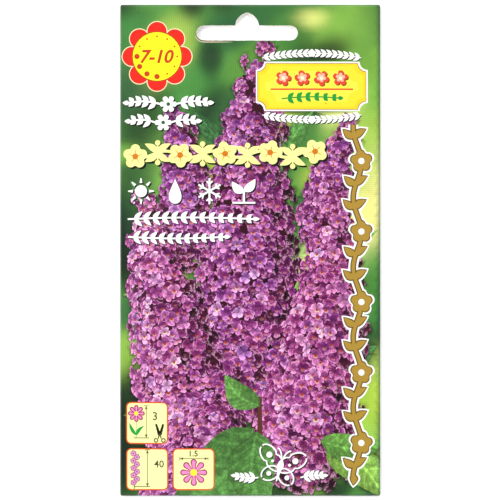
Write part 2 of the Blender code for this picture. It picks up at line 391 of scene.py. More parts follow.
def paperSheet(name, pile, panel, holes, guides, spacing, place, backdrop, materials, edgeShade):
    # One sheet of printed paper. place(points, depth) folds flat print millimetres into room millimetres.
    panel = divided(panel, spacing)
    guides = [divided(guide, spacing) for guide in guides]
    rows = shapesOver(pile, panel)
    points, triangles, owner = cutAlongOutlines(rows["outline"], panel, holes, guides, spacing)
    shown = np.bincount(owner + 1, areas(points, triangles), len(rows["kind"]) + 1)[1:]
    keep = (shown > floret["leastShown"]) | (rows["kind"] != floretKind)
    if not keep.all():   # flowers that others hide are left out, and the rest is cut again
        rows = keptRows(rows, keep)
        points, triangles, owner = cutAlongOutlines(rows["outline"], panel, holes, guides, spacing)
    allKinds = np.concatenate([[backdropKind], rows["kind"]])
    allCentres = np.concatenate([np.zeros((1, 2)), rows["centre"]])
    kind, centre = allKinds[owner + 1], allCentres[owner + 1]
    colour = np.concatenate([np.zeros((1, 3)), rows["colour"]])[owner + 1]
    axes = np.concatenate([np.eye(2)[None], rows["axes"]])[owner + 1]
    facts = np.concatenate([np.zeros((1, 2)), rows["facts"]])[owner + 1]

    corners = points[triangles]                                   # (triangles, 3, 2)
    inks = np.repeat(colour[:, None], 3, 1)
    bare = kind == backdropKind
    inks[bare] = backdrop(corners[bare].reshape(-1, 2)).reshape(-1, 3, 3)
    topOwner = np.full(len(points), -1)
    np.maximum.at(topOwner, triangles.ravel(), np.repeat(owner, 3))
    above = topOwner[triangles]
    lower = (above > owner[:, None]) & (kind != solidKind)[:, None]
    lower &= np.isin(allKinds[above + 1], (floretKind, leafKind))
    away = corners - allCentres[above + 1]
    away /= np.maximum(np.linalg.norm(away, axis=2, keepdims=True), 1e-6)
    lee = np.clip(0.6 + 0.4 * (away @ floret["lee"]), 0, 1)   # a flower's lower right lies in its shade
    inks *= 1 - (lower * lee)[..., None] * floret["shade"]
    inks *= paperFinish["white"] * edgeShade(corners.reshape(-1, 2)).reshape(-1, 3, 3)
    local = np.einsum("tij,tkj->tki", np.linalg.inv(np.swapaxes(axes, 1, 2)), corners - centre[:, None])
    leafy = kind == leafKind
    t, n = local[leafy, :, 0], local[leafy, :, 1]
    width, bend = facts[leafy, :1], facts[leafy, 1:2]
    across = (n - bend * np.sin(math.pi * np.clip(t, 0, 1))) / np.maximum(width / 2 * leafProfile(t), 0.05)
    local[leafy] = np.stack([t, np.clip(across, -1, 1)], -1)

    rim = rimEdges(triangles)
    thickness = packet["paper"]
    lowPoints, lowTriangles, below = underside(points, rim, panel, holes, guides, 2.6)
    top = place(points, 0.0)
    bottom = place(lowPoints, thickness)
    below += len(top)
    a, b = rim.T
    walls = np.concatenate([np.stack([a, below[a], below[b]], -1), np.stack([a, below[b], b], -1)])
    allTriangles = np.concatenate([triangles, lowTriangles[:, ::-1] + len(top), walls])
    vertices = np.concatenate([top, bottom]) * mm

    topNormals = normalsOf(place, points)
    lowNormals = -normalsOf(place, lowPoints, thickness)
    first, second, third = (vertices[walls[:, i]] for i in range(3))
    wallCross = np.cross(second - first, third - first)
    wallCross /= np.maximum(np.linalg.norm(wallCross, axis=1, keepdims=True), 1e-15)
    loopNormals = np.concatenate([
        topNormals[triangles.ravel()],
        lowNormals[lowTriangles[:, ::-1].ravel()],
        np.repeat(wallCross, 3, 0),
    ])
    plain = len(lowTriangles) + len(walls)
    slots = np.concatenate([kind, np.full(plain, len(materials) - 1)])
    mapped = np.concatenate([local.reshape(-1, 2), np.zeros((plain * 3, 2))])
    tinted = np.concatenate([inks.reshape(-1, 3), np.ones((plain * 3, 3))])
    told = np.concatenate([np.repeat(facts, 3, 0), np.zeros((plain * 3, 2))])

    mesh = bpy.data.meshes.new(name)
    mesh.from_pydata(vertices, [], allTriangles)
    mesh.polygons.foreach_set("material_index", slots.astype(np.int32))
    mesh.polygons.foreach_set("use_smooth", np.ones(len(allTriangles), bool))
    shapeMap = mesh.uv_layers.new(name="shapeMap")
    shapeMap.data.foreach_set("uv", mapped.ravel().astype(np.float32))
    opaque = np.ones((len(tinted), 1))
    for attributeName, values in (("ink", [tinted, opaque]), ("facts", [told, 0 * opaque, opaque])):
        attribute = mesh.color_attributes.new(attributeName, "FLOAT_COLOR", "CORNER")
        attribute.data.foreach_set("color", np.concatenate(values, 1).ravel().astype(np.float32))
    for material in materials:
        mesh.materials.append(material)
    mesh.normals_split_custom_set(loopNormals)
    mesh.validate(verbose=False)
    piece = bpy.data.objects.new(name, mesh)
    bpy.context.scene.collection.objects.link(piece)
    print(name, len(allTriangles), "triangles, print", len(triangles))
    return piece


# The finishes of the paper

paperFinish = {
    "white": 0.74,           # the share of light that the bare paper gives back; every ink lies over it
    "grainSize": 0.35,       # mm between the fibres' bumps; finer in life, drawn as coarse as shows
    "grainHeight": 0.004,    # mm
    "grainStrength": 0.35,
    "roughnessSpread": 0.05,
    "specular": 0.28,        # a satin varnish shines less than bare plastic does
    "coatRoughness": 0.2,
    "screenPitch": 0.6324,   # mm between rows of the print screen; finer in life, drawn as coarse as shows
    "screenDepth": 0.11,
}


def paperShader(name, colourOf, roughness, coat):
    # coated paper, calendered: a smooth sheet whose fibres still dimple the gloss a little
    material = bpy.data.materials.new(name)
    material.use_nodes = True
    tree = material.node_tree
    shader = tree.nodes["Principled BSDF"]
    where = addNode(tree, "TexCoord", {})["Object"]
    scale = 1 / (paperFinish["grainSize"] * mm)
    grain = addNode(tree, "TexNoise", {
        "Vector": where, "Scale": scale, "Detail": 2.0, "Roughness": 0.6})["Fac"]
    bump = addNode(tree, "Bump", {"Height": grain, "Strength": paperFinish["grainStrength"],
                                  "Distance": paperFinish["grainHeight"] * mm})[0]
    spread = paperFinish["roughnessSpread"]
    rough = addNode(tree, "MapRange", {
        "Value": grain, "To Min": roughness - spread, "To Max": roughness + spread})[0]
    tree.links.new(colourOf(tree, where), shader.inputs["Base Color"])
    tree.links.new(bump, shader.inputs["Normal"])
    tree.links.new(rough, shader.inputs["Roughness"])
    shader.inputs["Specular IOR Level"].default_value = paperFinish["specular"]
    shader.inputs["Coat Weight"].default_value = coat
    shader.inputs["Coat Roughness"].default_value = paperFinish["coatRoughness"]
    return material


def screened(tree, where, colour):
    # the faint crossing rows of the print screen: the sines of x and y, added, lighten and darken the ink
    pitch = tau / (paperFinish["screenPitch"] * mm)
    turn = addNode(tree, "VectorMath", {0: where, "Scale": pitch}, operation="SCALE")[0]
    wave = addNode(tree, "VectorMath", {0: turn}, operation="SINE")[0]
    waves = addNode(tree, "SeparateXYZ", {0: wave})
    both = addNode(tree, "Math", {0: waves[0], 1: waves[1]}, operation="ADD")[0]
    depth = paperFinish["screenDepth"] / 2
    level = addNode(tree, "Math", {0: both, 1: depth, 2: 1.0}, operation="MULTIPLY_ADD")[0]
    return addNode(tree, "VectorMath", {0: colour, "Scale": level}, operation="SCALE")[0]


def blurredFoliageInk(tree, where):
    # out-of-focus green, so only broad soft noise moves it
    ink = addNode(tree, "VertexColor", {}, layer_name="ink")["Color"]
    soft = addNode(tree, "TexNoise", {
        "Vector": where, "Scale": 90.0, "Detail": 3.0, "Roughness": 0.55})["Fac"]
    level = addNode(tree, "MapRange", {
        "Value": soft, "From Min": 0.3, "From Max": 0.7, "To Min": 0.86, "To Max": 1.14})[0]
    return screened(tree, where, addNode(tree, "VectorMath", {0: ink, "Scale": level}, operation="SCALE")[0])


def petalInk(tree, where):
    # four petals about an eye: the shape's own map gives the angle and the distance from the eye
    ink = addNode(tree, "VertexColor", {}, layer_name="ink")["Color"]
    local = addNode(tree, "UVMap", {}, uv_map="shapeMap")[0]
    across = addNode(tree, "SeparateXYZ", {0: local})
    facts = addNode(tree, "SeparateColor", {0: addNode(tree, "VertexColor", {}, layer_name="facts")["Color"]})
    seed, eyed = facts[0], facts[1]
    reach = addNode(tree, "VectorMath", {0: local}, operation="LENGTH")["Value"]
    angle = addNode(tree, "Math", {0: across[1], 1: across[0]}, operation="ARCTAN2")[0]
    turns = addNode(tree, "Math", {0: angle, 1: math.pi / 2}, operation="DIVIDE")[0]
    nearest = addNode(tree, "Math", {0: turns, 1: 0.5}, operation="ADD")[0]
    nearest = addNode(tree, "Math", {0: nearest}, operation="FLOOR")[0]
    number = addNode(tree, "Math", {0: nearest, 1: 4.0}, operation="FLOORED_MODULO")[0]
    offAxis = addNode(tree, "Math", {0: turns, 1: nearest}, operation="SUBTRACT")[0]
    offAxis = addNode(tree, "Math", {0: offAxis}, operation="ABSOLUTE")[0]   # 0 on the rib, 0.5 in the gap

    # each petal draws its own level; the sine of both angles tells how far up the sheet a point lies,
    # because the seed is the flower's turn, and 1 is uppermost
    draw = addNode(tree, "Math", {0: seed, 1: 91.7}, operation="MULTIPLY")[0]
    draw = addNode(tree, "CombineXYZ", {"X": draw, "Y": number})[0]
    chance = addNode(tree, "TexWhiteNoise", {"Vector": draw}, noise_dimensions="3D")["Value"]
    level = addNode(tree, "Math", {0: chance, 1: 0.8, 2: 0.6}, operation="MULTIPLY_ADD")[0]
    upwards = addNode(tree, "Math", {0: seed, 1: tau}, operation="MULTIPLY")[0]
    upwards = addNode(tree, "Math", {0: angle, 1: upwards}, operation="ADD")[0]
    upwards = addNode(tree, "Math", {0: upwards}, operation="SINE")[0]
    outline = addNode(tree, "MapRange", {   # how far out the petal reaches in this direction
        "Value": offAxis, "From Min": 0.3, "From Max": 0.5, "To Min": 1.0, "To Max": 0.5})[0]
    outwards = addNode(tree, "Math", {0: reach, 1: outline}, operation="DIVIDE")[0]
    fromBelow = addNode(tree, "MapRange", {
        "Value": upwards, "From Min": -1.0, "From Max": 1.0, "To Min": 1.4, "To Max": 0.46})[0]
    gap = addNode(tree, "MapRange", {
        "Value": offAxis, "From Min": 0.22, "From Max": 0.5, "To Min": 1.0, "To Max": 0.22},
        interpolation_type="SMOOTHSTEP")[0]
    throat = addNode(tree, "MapRange", {
        "Value": outwards, "From Min": 0.15, "From Max": 0.85, "To Min": 0.55, "To Max": 1.2},
        interpolation_type="SMOOTHSTEP")[0]
    ruffle = addNode(tree, "TexNoise", {"Vector": where, "Scale": 1900.0, "Detail": 2.0})["Fac"]
    ruffle = addNode(tree, "Math", {0: ruffle, 1: 3.0, 2: -0.5}, operation="MULTIPLY_ADD")[0]
    for factor in (fromBelow, gap, throat, ruffle):
        level = addNode(tree, "Math", {0: level, 1: factor}, operation="MULTIPLY")[0]
    rim = addNode(tree, "MapRange", {
        "Value": outwards, "From Min": 0.72, "From Max": 0.86, "To Min": 0.0, "To Max": 1.5},
        interpolation_type="SMOOTHSTEP")[0]
    level = addNode(tree, "Math", {0: rim, 1: chance, 2: level}, operation="MULTIPLY_ADD")[0]
    contour = addNode(tree, "MapRange", {
        "Value": outwards, "From Min": 0.92, "From Max": 1.0, "To Min": 1.0, "To Max": 0.3},
        interpolation_type="SMOOTHSTEP")[0]
    level = addNode(tree, "Math", {0: level, 1: contour}, operation="MULTIPLY")[0]

    # below 1 the level shades the petal towards a deep tone of its ink, above 1 it lightens it
    shade = addNode(tree, "MapRange", {"Value": level, "From Min": 1.0, "From Max": 0.15, "To Max": 0.92})[0]
    shine = addNode(tree, "MapRange", {"Value": level, "From Min": 1.0, "From Max": 2.0, "To Max": 0.75})[0]
    deep = addNode(tree, "VectorMath", {0: ink, 1: (0.22, 0.15, 0.27)}, operation="MULTIPLY")[0]
    shining = addNode(tree, "VectorMath", {
        0: ink, 1: (0.8, 1.0, 0.85), 2: tuple(linear("#d09abc") * 0.72)}, operation="MULTIPLY_ADD")[0]
    cream = addNode(tree, "VectorMath", {
        0: ink, 1: (0.7, 1.7, 0.6), 2: (0.34, 0.2, 0.14)}, operation="MULTIPLY_ADD")[0]
    flare = addNode(tree, "MapRange", {"Value": upwards, "From Min": 0.5, "From Max": -0.8})[0]
    ring = addNode(tree, "MapRange", {
        "Value": reach, "From Min": 0.46, "From Max": 0.2, "To Min": 0.0, "To Max": 0.85},
        interpolation_type="SMOOTHSTEP")[0]
    ring = addNode(tree, "Math", {0: ring, 1: eyed}, operation="MULTIPLY")[0]
    ring = addNode(tree, "Math", {0: ring, 1: flare}, operation="MULTIPLY")[0]
    eye = addNode(tree, "MapRange", {
        "Value": reach, "From Min": 0.24, "From Max": 0.12}, interpolation_type="SMOOTHSTEP")[0]
    eye = addNode(tree, "Math", {0: eye, 1: eyed}, operation="MULTIPLY")[0]
    red = (*(linear("#a82a1c") * 0.8), 1)
    colour = ink
    for share, over in ((shade, deep), (shine, shining), (ring, cream), (eye, red)):
        colour = addNode(tree, "Mix", {"Factor": share, 6: colour, 7: over}, data_type="RGBA")[2]
    return colour


def leafInk(tree, where):
    # a pale midrib, side veins that leave it at a slant, a net of small veins and darker skin between them
    ink = addNode(tree, "VertexColor", {}, layer_name="ink")["Color"]
    local = addNode(tree, "SeparateXYZ", {0: addNode(tree, "UVMap", {}, uv_map="shapeMap")[0]})
    across = addNode(tree, "Math", {0: local[1]}, operation="ABSOLUTE")[0]
    slant = addNode(tree, "Math", {0: across, 1: -0.16, 2: local[0]}, operation="MULTIPLY_ADD")[0]
    wave = addNode(tree, "Math", {0: slant, 1: 9 * tau}, operation="MULTIPLY")[0]
    wave = addNode(tree, "Math", {0: wave}, operation="SINE")[0]
    vein = addNode(tree, "MapRange", {
        "Value": wave, "From Min": 0.8, "From Max": 1.0, "To Min": 1.0, "To Max": 1.22},
        interpolation_type="SMOOTHSTEP")[0]
    hollow = addNode(tree, "Math", {0: wave, 1: 0.09, 2: 0.95}, operation="MULTIPLY_ADD")[0]
    rib = addNode(tree, "MapRange", {
        "Value": across, "From Min": 0.12, "From Max": 0.04, "To Min": 1.0, "To Max": 1.5},
        interpolation_type="SMOOTHSTEP")[0]
    halves = addNode(tree, "Math", {0: local[1], 1: 0.24, 2: 1.0}, operation="MULTIPLY_ADD")[0]
    along = addNode(tree, "MapRange", {"Value": local[0], "To Min": 0.72, "To Max": 1.15})[0]
    mottle = addNode(tree, "TexNoise", {"Vector": where, "Scale": 420.0, "Detail": 4.0})["Fac"]
    mottle = addNode(tree, "Math", {0: mottle, 1: 1.7, 2: 0.15}, operation="MULTIPLY_ADD")[0]
    cells = addNode(tree, "TexVoronoi", {"Vector": where, "Scale": 700.0}, feature="DISTANCE_TO_EDGE")
    net = addNode(tree, "MapRange", {
        "Value": cells["Distance"], "From Min": 0.02, "From Max": 0.2, "To Min": 0.74, "To Max": 1.06},
        interpolation_type="SMOOTHSTEP")[0]
    level = vein
    for factor in (rib, hollow, halves, along, mottle, net):
        level = addNode(tree, "Math", {0: level, 1: factor}, operation="MULTIPLY")[0]
    return addNode(tree, "VectorMath", {0: ink, "Scale": level}, operation="SCALE")[0]


def solidInk(tree, where):   # flat spot ink, laid on a trace unevenly
    ink = addNode(tree, "VertexColor", {}, layer_name="ink")["Color"]
    cloud = addNode(tree, "TexNoise", {"Vector": where, "Scale": 900.0, "Detail": 1.0})["Fac"]
    level = addNode(tree, "Math", {0: cloud, 1: 0.06, 2: 0.97}, operation="MULTIPLY_ADD")[0]
    return addNode(tree, "VectorMath", {0: ink, "Scale": level}, operation="SCALE")[0]


def bareStock(tree, where):   # unprinted wood-free paper, a little uneven where it was cut
    cloud = addNode(tree, "TexNoise", {"Vector": where, "Scale": 700.0, "Detail": 2.0})["Fac"]
    return addNode(tree, "Mix", {
        "Factor": cloud, 6: (*linear("#e9e4d6"), 1), 7: (*linear("#f6f2e8"), 1)}, data_type="RGBA")[2]


gloss = {"roughness": 0.36, "inkRoughness": 0.34, "coat": 0.02, "bareRoughness": 0.75}
printMaterials = [
    paperShader("coatedPaperBlurredFoliagePrint", blurredFoliageInk, gloss["roughness"], gloss["coat"]),
    paperShader("coatedPaperFloretPrint", petalInk, gloss["roughness"], gloss["coat"]),
    paperShader("coatedPaperLeafPrint", leafInk, gloss["roughness"], gloss["coat"]),
    paperShader("coatedPaperFlatInk", solidInk, gloss["inkRoughness"], gloss["coat"]),
    paperShader("uncoatedPaperStock", bareStock, gloss["bareRoughness"], 0.0),
]
print("materials", len(printMaterials))


# The shape of the front: flat at its folded border, swollen over the sachet, with faint cockles

swelling = {
    "rise": 1.84,            # mm, at the middle
    "bottom": -packet["halfLength"] + 3.0,
    "top": packet["halfLength"] - packet["topFlap"],
    "cockle": 0.05,          # mm
}


def frontHeight(x, y):
    # (1 - x^4)^1.5 across, times the 0.8th power of half a sine wave along, and three faint crossing waves
    across = np.clip(np.abs(x) / packet["flatX"], 0, 1)
    along = np.clip((y - swelling["bottom"]) / (swelling["top"] - swelling["bottom"]), 0, 1)
    bulge = (1 - across ** 4) ** 1.5 * np.sin(math.pi * along) ** 0.8
    waves = np.sin(x / 9.1 + y / 23.0 + 1.0) + np.sin(x / 17.0 - y / 14.3 + 2.1) + np.sin(y / 8.7 + x / 31.0)
    cockle = swelling["cockle"] * waves * np.minimum(bulge * 2, 1)
    return packet["frontFace"] + swelling["rise"] * bulge + cockle


def foldFront(points, depth):
    # beyond the flat part the sheet runs on round a quarter circle; at a corner both turns join in one
    # round one
    x, y = points.T
    sideRadius, endRadius = packet["sideRadius"], packet["endRadius"]
    turnX = np.maximum(np.abs(x) - packet["flatX"], 0) / sideRadius
    turnY = np.maximum(np.abs(y) - packet["flatY"], 0) / endRadius
    turn = np.hypot(turnX, turnY)
    share = np.maximum(turn, 1e-9)
    radius = np.where(turn > 0, np.hypot(sideRadius * turnX, endRadius * turnY) / share, 0)
    flatX, flatY = (np.clip(at, -packet[end], packet[end]) for at, end in ((x, "flatX"), (y, "flatY")))
    outX = np.sign(x) * (sideRadius - depth) * np.sin(turn) * turnX / share
    outY = np.sign(y) * (endRadius - depth) * np.sin(turn) * turnY / share
    drop = radius - (radius - depth) * np.cos(turn) + depth * (turn == 0)
    return np.stack([flatX + outX, flatY + outY, frontHeight(flatX, flatY) - drop], -1)


# The picture: flower spikes in a fan over blurred greenery

greenery = {
    "greens": ["#0e1c17", "#1c3c2c", "#31643a", "#518e40", "#7db64c", "#b6d85a", "#f0f694"],   # shade to sun
    "patches": 96,
    "radius": (3.0, 9.0),    # mm
    "stretch": 1.9,          # along the way the foliage leans
    "lean": math.radians(62),
    "leanSpread": 0.5,
    "noise": 0.34,           # how much sun and shade alternate
    "ground": 0.05,          # how much the common ground weighs
    "falloff": 2.2,          # how sharply one patch gives way to the next
    "seed": 63,
}


def greeneryPatches():
    # out-of-focus light and shade: patches strewn by the golden share, sunnier towards the right and the top
    rng = np.random.default_rng(greenery["seed"])
    k = np.arange(greenery["patches"])
    x = (((k * goldenShare + 0.31) % 1) - 0.5) * 98
    y = ((k + 0.5) / len(k) - 0.5) * 176 + rng.normal(0, 4, len(k))
    sun = 0.41 + 0.13 * x / 41 + 0.42 * np.exp(-((x - 36) / 12) ** 2 - ((y - 18) / 34) ** 2)
    sun = np.clip(sun + rng.normal(0, greenery["noise"], len(k)), 0, 1)
    colour = rampAt(greenery["greens"], sun) * rng.uniform([0.8, 0.93, 0.6], [1.3, 1.05, 1.15], (len(k), 3))
    radius = rng.uniform(*greenery["radius"], len(k))
    return x, y, radius, greenery["lean"] + rng.normal(0, greenery["leanSpread"], len(k)), colour


def rampAt(hexColours, share):   # colours in even steps from 0 to 1, and straight lines between them
    steps = np.linspace(0, 1, len(hexColours))
    colours = np.array([linear(colour) for colour in hexColours])
    return np.stack([np.interp(share, steps, colours[:, i]) for i in range(3)], -1)


def greeneryAt(points):
    # every patch weighed by exp(-distance^2) to a power, its ellipse leaning, over a weak common ground
    total = np.full(len(points), greenery["ground"])
    colour = total[:, None] * linear(greenery["greens"][3])
    for x, y, radius, lean, shade in zip(*greeneryPatches()):
        along = (points - [x, y]) @ ways(lean)
        aside = (points - [x, y]) @ crossway(ways(lean))
        near = np.exp(-(along / (radius * greenery["stretch"])) ** 2 - (aside / radius) ** 2)
        weight = near ** greenery["falloff"]
        total = total + weight
        colour = colour + weight[:, None] * shade
    return colour / total[:, None]


floret = {
    "reach": 2.45,           # mm from eye to petal tip
    "reachSpread": (0.78, 1.25),
    "notch": 0.5,            # how deep the gap between two petals is
    "frill": (0.84, 1.1),    # how far each point of a petal's edge is pushed in or out
    "dome": 10,              # florets in the small dome of each cluster
    "eyed": 0.68,            # the share of florets whose eye shows
    "leastShown": 0.3,       # mm2 that a flower must show to be cut out
    "shade": np.array([0.72, 0.88, 0.78]),    # the share of each ink that the shade under a flower takes away
    "light": np.array([-0.42, 0.52, 0.74]),
    "lee": np.array([0.6, -0.8]),            # where a flower's shade falls
    "violet": np.array([0.70, 0.79, 1.10]),   # what a bluer flower's ink is multiplied by
    "ramp": ["#23060f", "#5a1238", "#872668", "#af458f", "#d476b4", "#f8b8de"],   # deep shade to full light
}
spikeFacts = ("base", "tip", "halfWidth", "bow", "clusters", "light", "violet", "floret", "seed")
spikes = [dict(zip(spikeFacts, row)) for row in (
    ((-21, -2), (-24, 47), 8.5, -2.0, 32, 0.72, 0.8, 0.85, 11),
    ((22, 4), (33, 43), 7.0, 1.5, 24, 0.80, 0.5, 0.85, 12),
    ((1, -52), (4, 67), 18.5, 3.0, 104, 0.84, 0.5, 0.88, 13),
    ((-13, -70), (-33, 21), 15.5, 2.5, 74, 0.96, 0.2, 0.86, 14),
    ((14, -72), (28, 19), 16.0, -2.5, 80, 0.88, 0.1, 0.98, 15),
    ((-26, -90), (-7, -36), 13.0, -2.0, 46, 0.88, 0.35, 0.86, 16),
)]


def spikeOutline(spike, share):
    # the dark gaps between the florets: the spike's own cone, a little narrower, ragged on both sides
    base, tip = np.array(spike["base"], float), np.array(spike["tip"], float)
    side = crossway(tip - base)
    t = np.linspace(0, 0.9, 26)
    rng = np.random.default_rng(spike["seed"])
    half = spike["halfWidth"] * share * coneWidth(t) * (1 - 0.35 * t ** 2) + 0.6
    middle = base + t[:, None] * (tip - base) + (spike["bow"] * np.sin(math.pi * t))[:, None] * side
    left = middle + side * (half * rng.uniform(0.88, 1.08, len(t)))[:, None]
    right = middle - side * (half * rng.uniform(0.88, 1.08, len(t)))[:, None]
    return np.concatenate([left, right[::-1]])


def coneWidth(t):
    # a spike's half width as a share of its fullest: round at the base, then a cone with a blunt tip
    return (1 - t) ** 0.6 * (1 - np.exp(-(t + 0.03) / 0.06)) + 0.07


def unit(vectors):
    return vectors / np.linalg.norm(vectors, axis=-1, keepdims=True)


def layFlorets(pile, spike):
    # clusters go up the cone by the golden share of a turn; each is a dome of florets, tilted as it faces
    rng = np.random.default_rng(spike["seed"])
    base, run = np.array(spike["base"], float), np.array(spike["tip"], float) - spike["base"]
    length = np.linalg.norm(run)
    along = run / length
    side = np.array([along[1], -along[0]])
    n, m = spike["clusters"], floret["dome"]
    k, j = np.arange(n), np.arange(m)
    t = 1 - (1 - (k + 0.5) / n) ** 0.64          # as many clusters on each ring as its width has room for
    swing = (((k * goldenShare) % 1) - 0.5) * math.pi * 1.02 + rng.normal(0, 0.07, n)
    radius = np.interp(t, [0, 0.6, 1], [4.8, 4.0, 2.4]) * rng.uniform(0.85, 1.15, n)
    core = np.maximum(spike["halfWidth"] * coneWidth(t) - radius * 0.55, 0.3)
    facing = unit(np.stack([np.sin(swing), np.full(n, 0.28), np.cos(swing)], -1))
    centre = np.stack([core * np.sin(swing), t * length, core * np.cos(swing)], -1)

    # each dome stands on a frame whose third axis faces outwards
    lift = 1 - (j + 0.5) / m * 0.95
    ring = np.sqrt(1 - lift ** 2)
    first = unit(np.cross([0.0, 1.0, 0.1], facing))
    second = np.cross(facing, first)
    spin = j * goldenShare * tau + rng.uniform(0, tau, n)[:, None]
    way = first[:, None] * (ring * np.cos(spin))[..., None]
    way = way + second[:, None] * (ring * np.sin(spin))[..., None]
    way = way + facing[:, None] * np.broadcast_to(lift, (n, m))[..., None]
    place = centre[:, None] + way * radius[:, None, None] + rng.normal(0, 0.25, (n, m, 3))
    normal = unit(way * 0.75 + facing[:, None] * 0.45 + rng.normal(0, 0.2, (n, m, 3)))
    bright = np.clip((way * 0.8 + facing[:, None] * 0.45) @ unit(floret["light"]), 0, 1.2).ravel()
    place, normal = place.reshape(-1, 3), normal.reshape(-1, 3)

    # those that face away are left out, and the nearest are laid last
    seen = np.nonzero((normal[:, 2] > 0.05) & (place[:, 2] > -1.0))[0]
    seen = seen[np.argsort(place[seen, 2] + rng.normal(0, 0.5, len(seen)))]
    place, normal, bright = place[seen], normal[seen], bright[seen]
    height, inDome = np.repeat(t, m)[seen], np.tile(lift, n)[seen]
    normal[:, 2] = np.maximum(normal[:, 2], 0.5)
    normal = unit(normal)
    count = len(place)
    bow = spike["bow"] * np.sin(math.pi * np.clip(place[:, 1] / length, 0, 1))
    spot = base + side * (place[:, :1] - bow[:, None]) + along * place[:, 1:2]
    turn = rng.uniform(0, tau, count)
    right = unit(np.cross([0.0, 1.0, 0.0], normal))
    up = np.cross(normal, right)
    u = right * np.cos(turn)[:, None] + up * np.sin(turn)[:, None]
    v = np.cross(normal, u)
    size = floret["reach"] * spike["floret"] * rng.uniform(*floret["reachSpread"], count)
    size = size * np.interp(height, [0, 0.7, 1], [1.06, 0.95, 0.72])
    flat = np.stack([side, along])                # a floret's own x and y, drawn on the sheet
    axes = np.stack([u[:, :2] @ flat, v[:, :2] @ flat], 1) * size[:, None, None]

    # four broad petals: a notch, two shoulders and a frilled end between them
    angle = (np.arange(4)[:, None] * math.pi / 2 + np.radians([-45, -30, -11, 11, 30])).ravel()
    edge = np.tile([1 - floret["notch"], 0.9, 1.0, 1.0, 0.9], 4) * rng.uniform(*floret["frill"], (count, 20))
    way = edge[..., None] * ways(angle + rng.normal(0, 0.05, (count, 20)))
    outline = spot[:, None] + np.einsum("cpi,cij->cpj", way, axes)
    lit = 0.10 + 0.72 * bright * (0.5 + 0.55 * np.clip(inDome, 0, 1)) * spike["light"]
    lit = np.clip(lit + rng.normal(0, 0.10, count), 0.02, 1)
    violet = np.clip(spike["violet"] + rng.normal(0, 0.3, count), 0, 1)[:, None]
    colour = rampAt(floret["ramp"], lit) * (1 - violet + violet * floret["violet"])
    eyed = (normal[:, 2] > 0.6) & (rng.uniform(0, 1, count) < floret["eyed"])
    eye = np.where(eyed, 1.0, 0.1) * np.clip(lit * 1.5, 0, 1)
    lay(pile, outline, floretKind, colour, spot, axes, np.stack([turn / tau, eye], -1))
    return count


foliage = {
    "behind": [   # base, tip, width, bend, colour
        ((-14, 2), (-38, 22), 9, 2, "#4e7f46"), ((16, 8), (36, 34), 9, -2, "#86b95a"),
        ((20, -8), (40, 6), 10, 3, "#6ea653"), ((-16, -20), (-40, -14), 11, -3, "#8aa552"),
        ((18, -38), (40, -30), 10, -2, "#4f8a4a"), ((-20, -46), (-40, -52), 9, 2, "#56843f"),
        ((-4, 20), (-18, 44), 8, -2, "#3c6a3c"), ((9, 22), (20, 44), 7, 2, "#5c9448"),
    ],
    "front": [
        ((1, -56), (-27, -84), 21, 4, "#5f984a"), ((3, -49), (-8, -39), 8, 2, "#64994a"),
        ((2, -57), (5, -84), 15, -3, "#5d9448"), ((24, -62), (42, -78), 13, 3, "#92c256"),
        ((22, -60), (43, -61), 9, -2, "#6ea64a"),
    ],
}


def layFoliage(pile, entries):   # each leaf's map: x along its run, y to its left, and its width and bend
    base, tip, width, bend, colour = zip(*entries)
    base, tip, facts = np.array(base, float), np.array(tip, float), np.array([width, bend], float).T
    axes = np.stack([tip - base, crossway(tip - base)], 1)
    inks = np.array([linear(shade) for shade in colour])
    lay(pile, leaves(base, tip, *facts.T), leafKind, inks, base, axes, facts)


front = newPrint()
layFoliage(front, foliage["behind"])
layFlat(front, "#4a2a20", stroke([(0, -80), (1, -60), (1, -44)], [2.4, 2.0, 1.6]))   # the bush's stem
florets = 0
for spike in spikes:
    layFlat(front, "#35101c", spikeOutline(spike, 0.97))
    florets += layFlorets(front, spike)
layFlat(front, "#5a3324", stroke([(2, -81), (3, -64), (3, -46)], [2.2, 1.8, 1.2]))
layFoliage(front, foliage["front"])
print("florets", florets)


# The badge: a red flower with a yellow disc that shows the months in bloom as a dial of plain numbers

badge = {
    "centre": (-29.36, 61.06), "petals": 8, "petalRadius": 3.02, "ring": 7.88, "disc": 7.85, "rim": 0.3,
    "hairline": 0.16, "discLine": 0.18, "dial": 6.35, "dots": (0.3, 0.85), "inBloom": range(7, 11),
    "red": "#f02a1e", "darkRed": "#a8201c", "cream": "#fbe3b4", "yellow": "#fdf425", "line": "#b4481a",
    "figure": "#c8401a",
}


def layBadge(pile):   # round petals about a disc, with a cream rim and a dark hairline, and twelve dots
    middle = np.array(badge["centre"])
    around = ways(np.arange(badge["petals"]) * tau / badge["petals"])
    for grow, ink in ((badge["rim"], "cream"), (0.0, "darkRed"), (-badge["hairline"], "red")):
        layFlat(pile, badge[ink], *[
            circle(middle + badge["ring"] * way, badge["petalRadius"] + grow, 24) for way in around])
    layFlat(pile, badge["line"], circle(middle, badge["disc"] + badge["discLine"], 40))
    layFlat(pile, badge["yellow"], circle(middle, badge["disc"] - badge["discLine"], 40))
    for month in range(1, 13):   # clockwise, the first month at the top
        spot = middle + badge["dial"] * ways(tau / 4 - (month - 1) * tau / 12)
        layFlat(pile, badge["figure"], circle(spot, badge["dots"][month in badge["inBloom"]], 14))
    layFlat(pile, badge["figure"], numerals("7-10", middle, 4.0, 0.25, 0.035))


layBadge(front)


# Ornaments: a plaque, sprigs, a garland, care signs, a climbing vine and a butterfly

ornament = {
    "cream": "#fdfb9c", "white": "#fffffb", "gold": "#b08d38", "goldLine": "#6d5522", "shadow": "#10140f",
    "green": "#2f5a38",
}


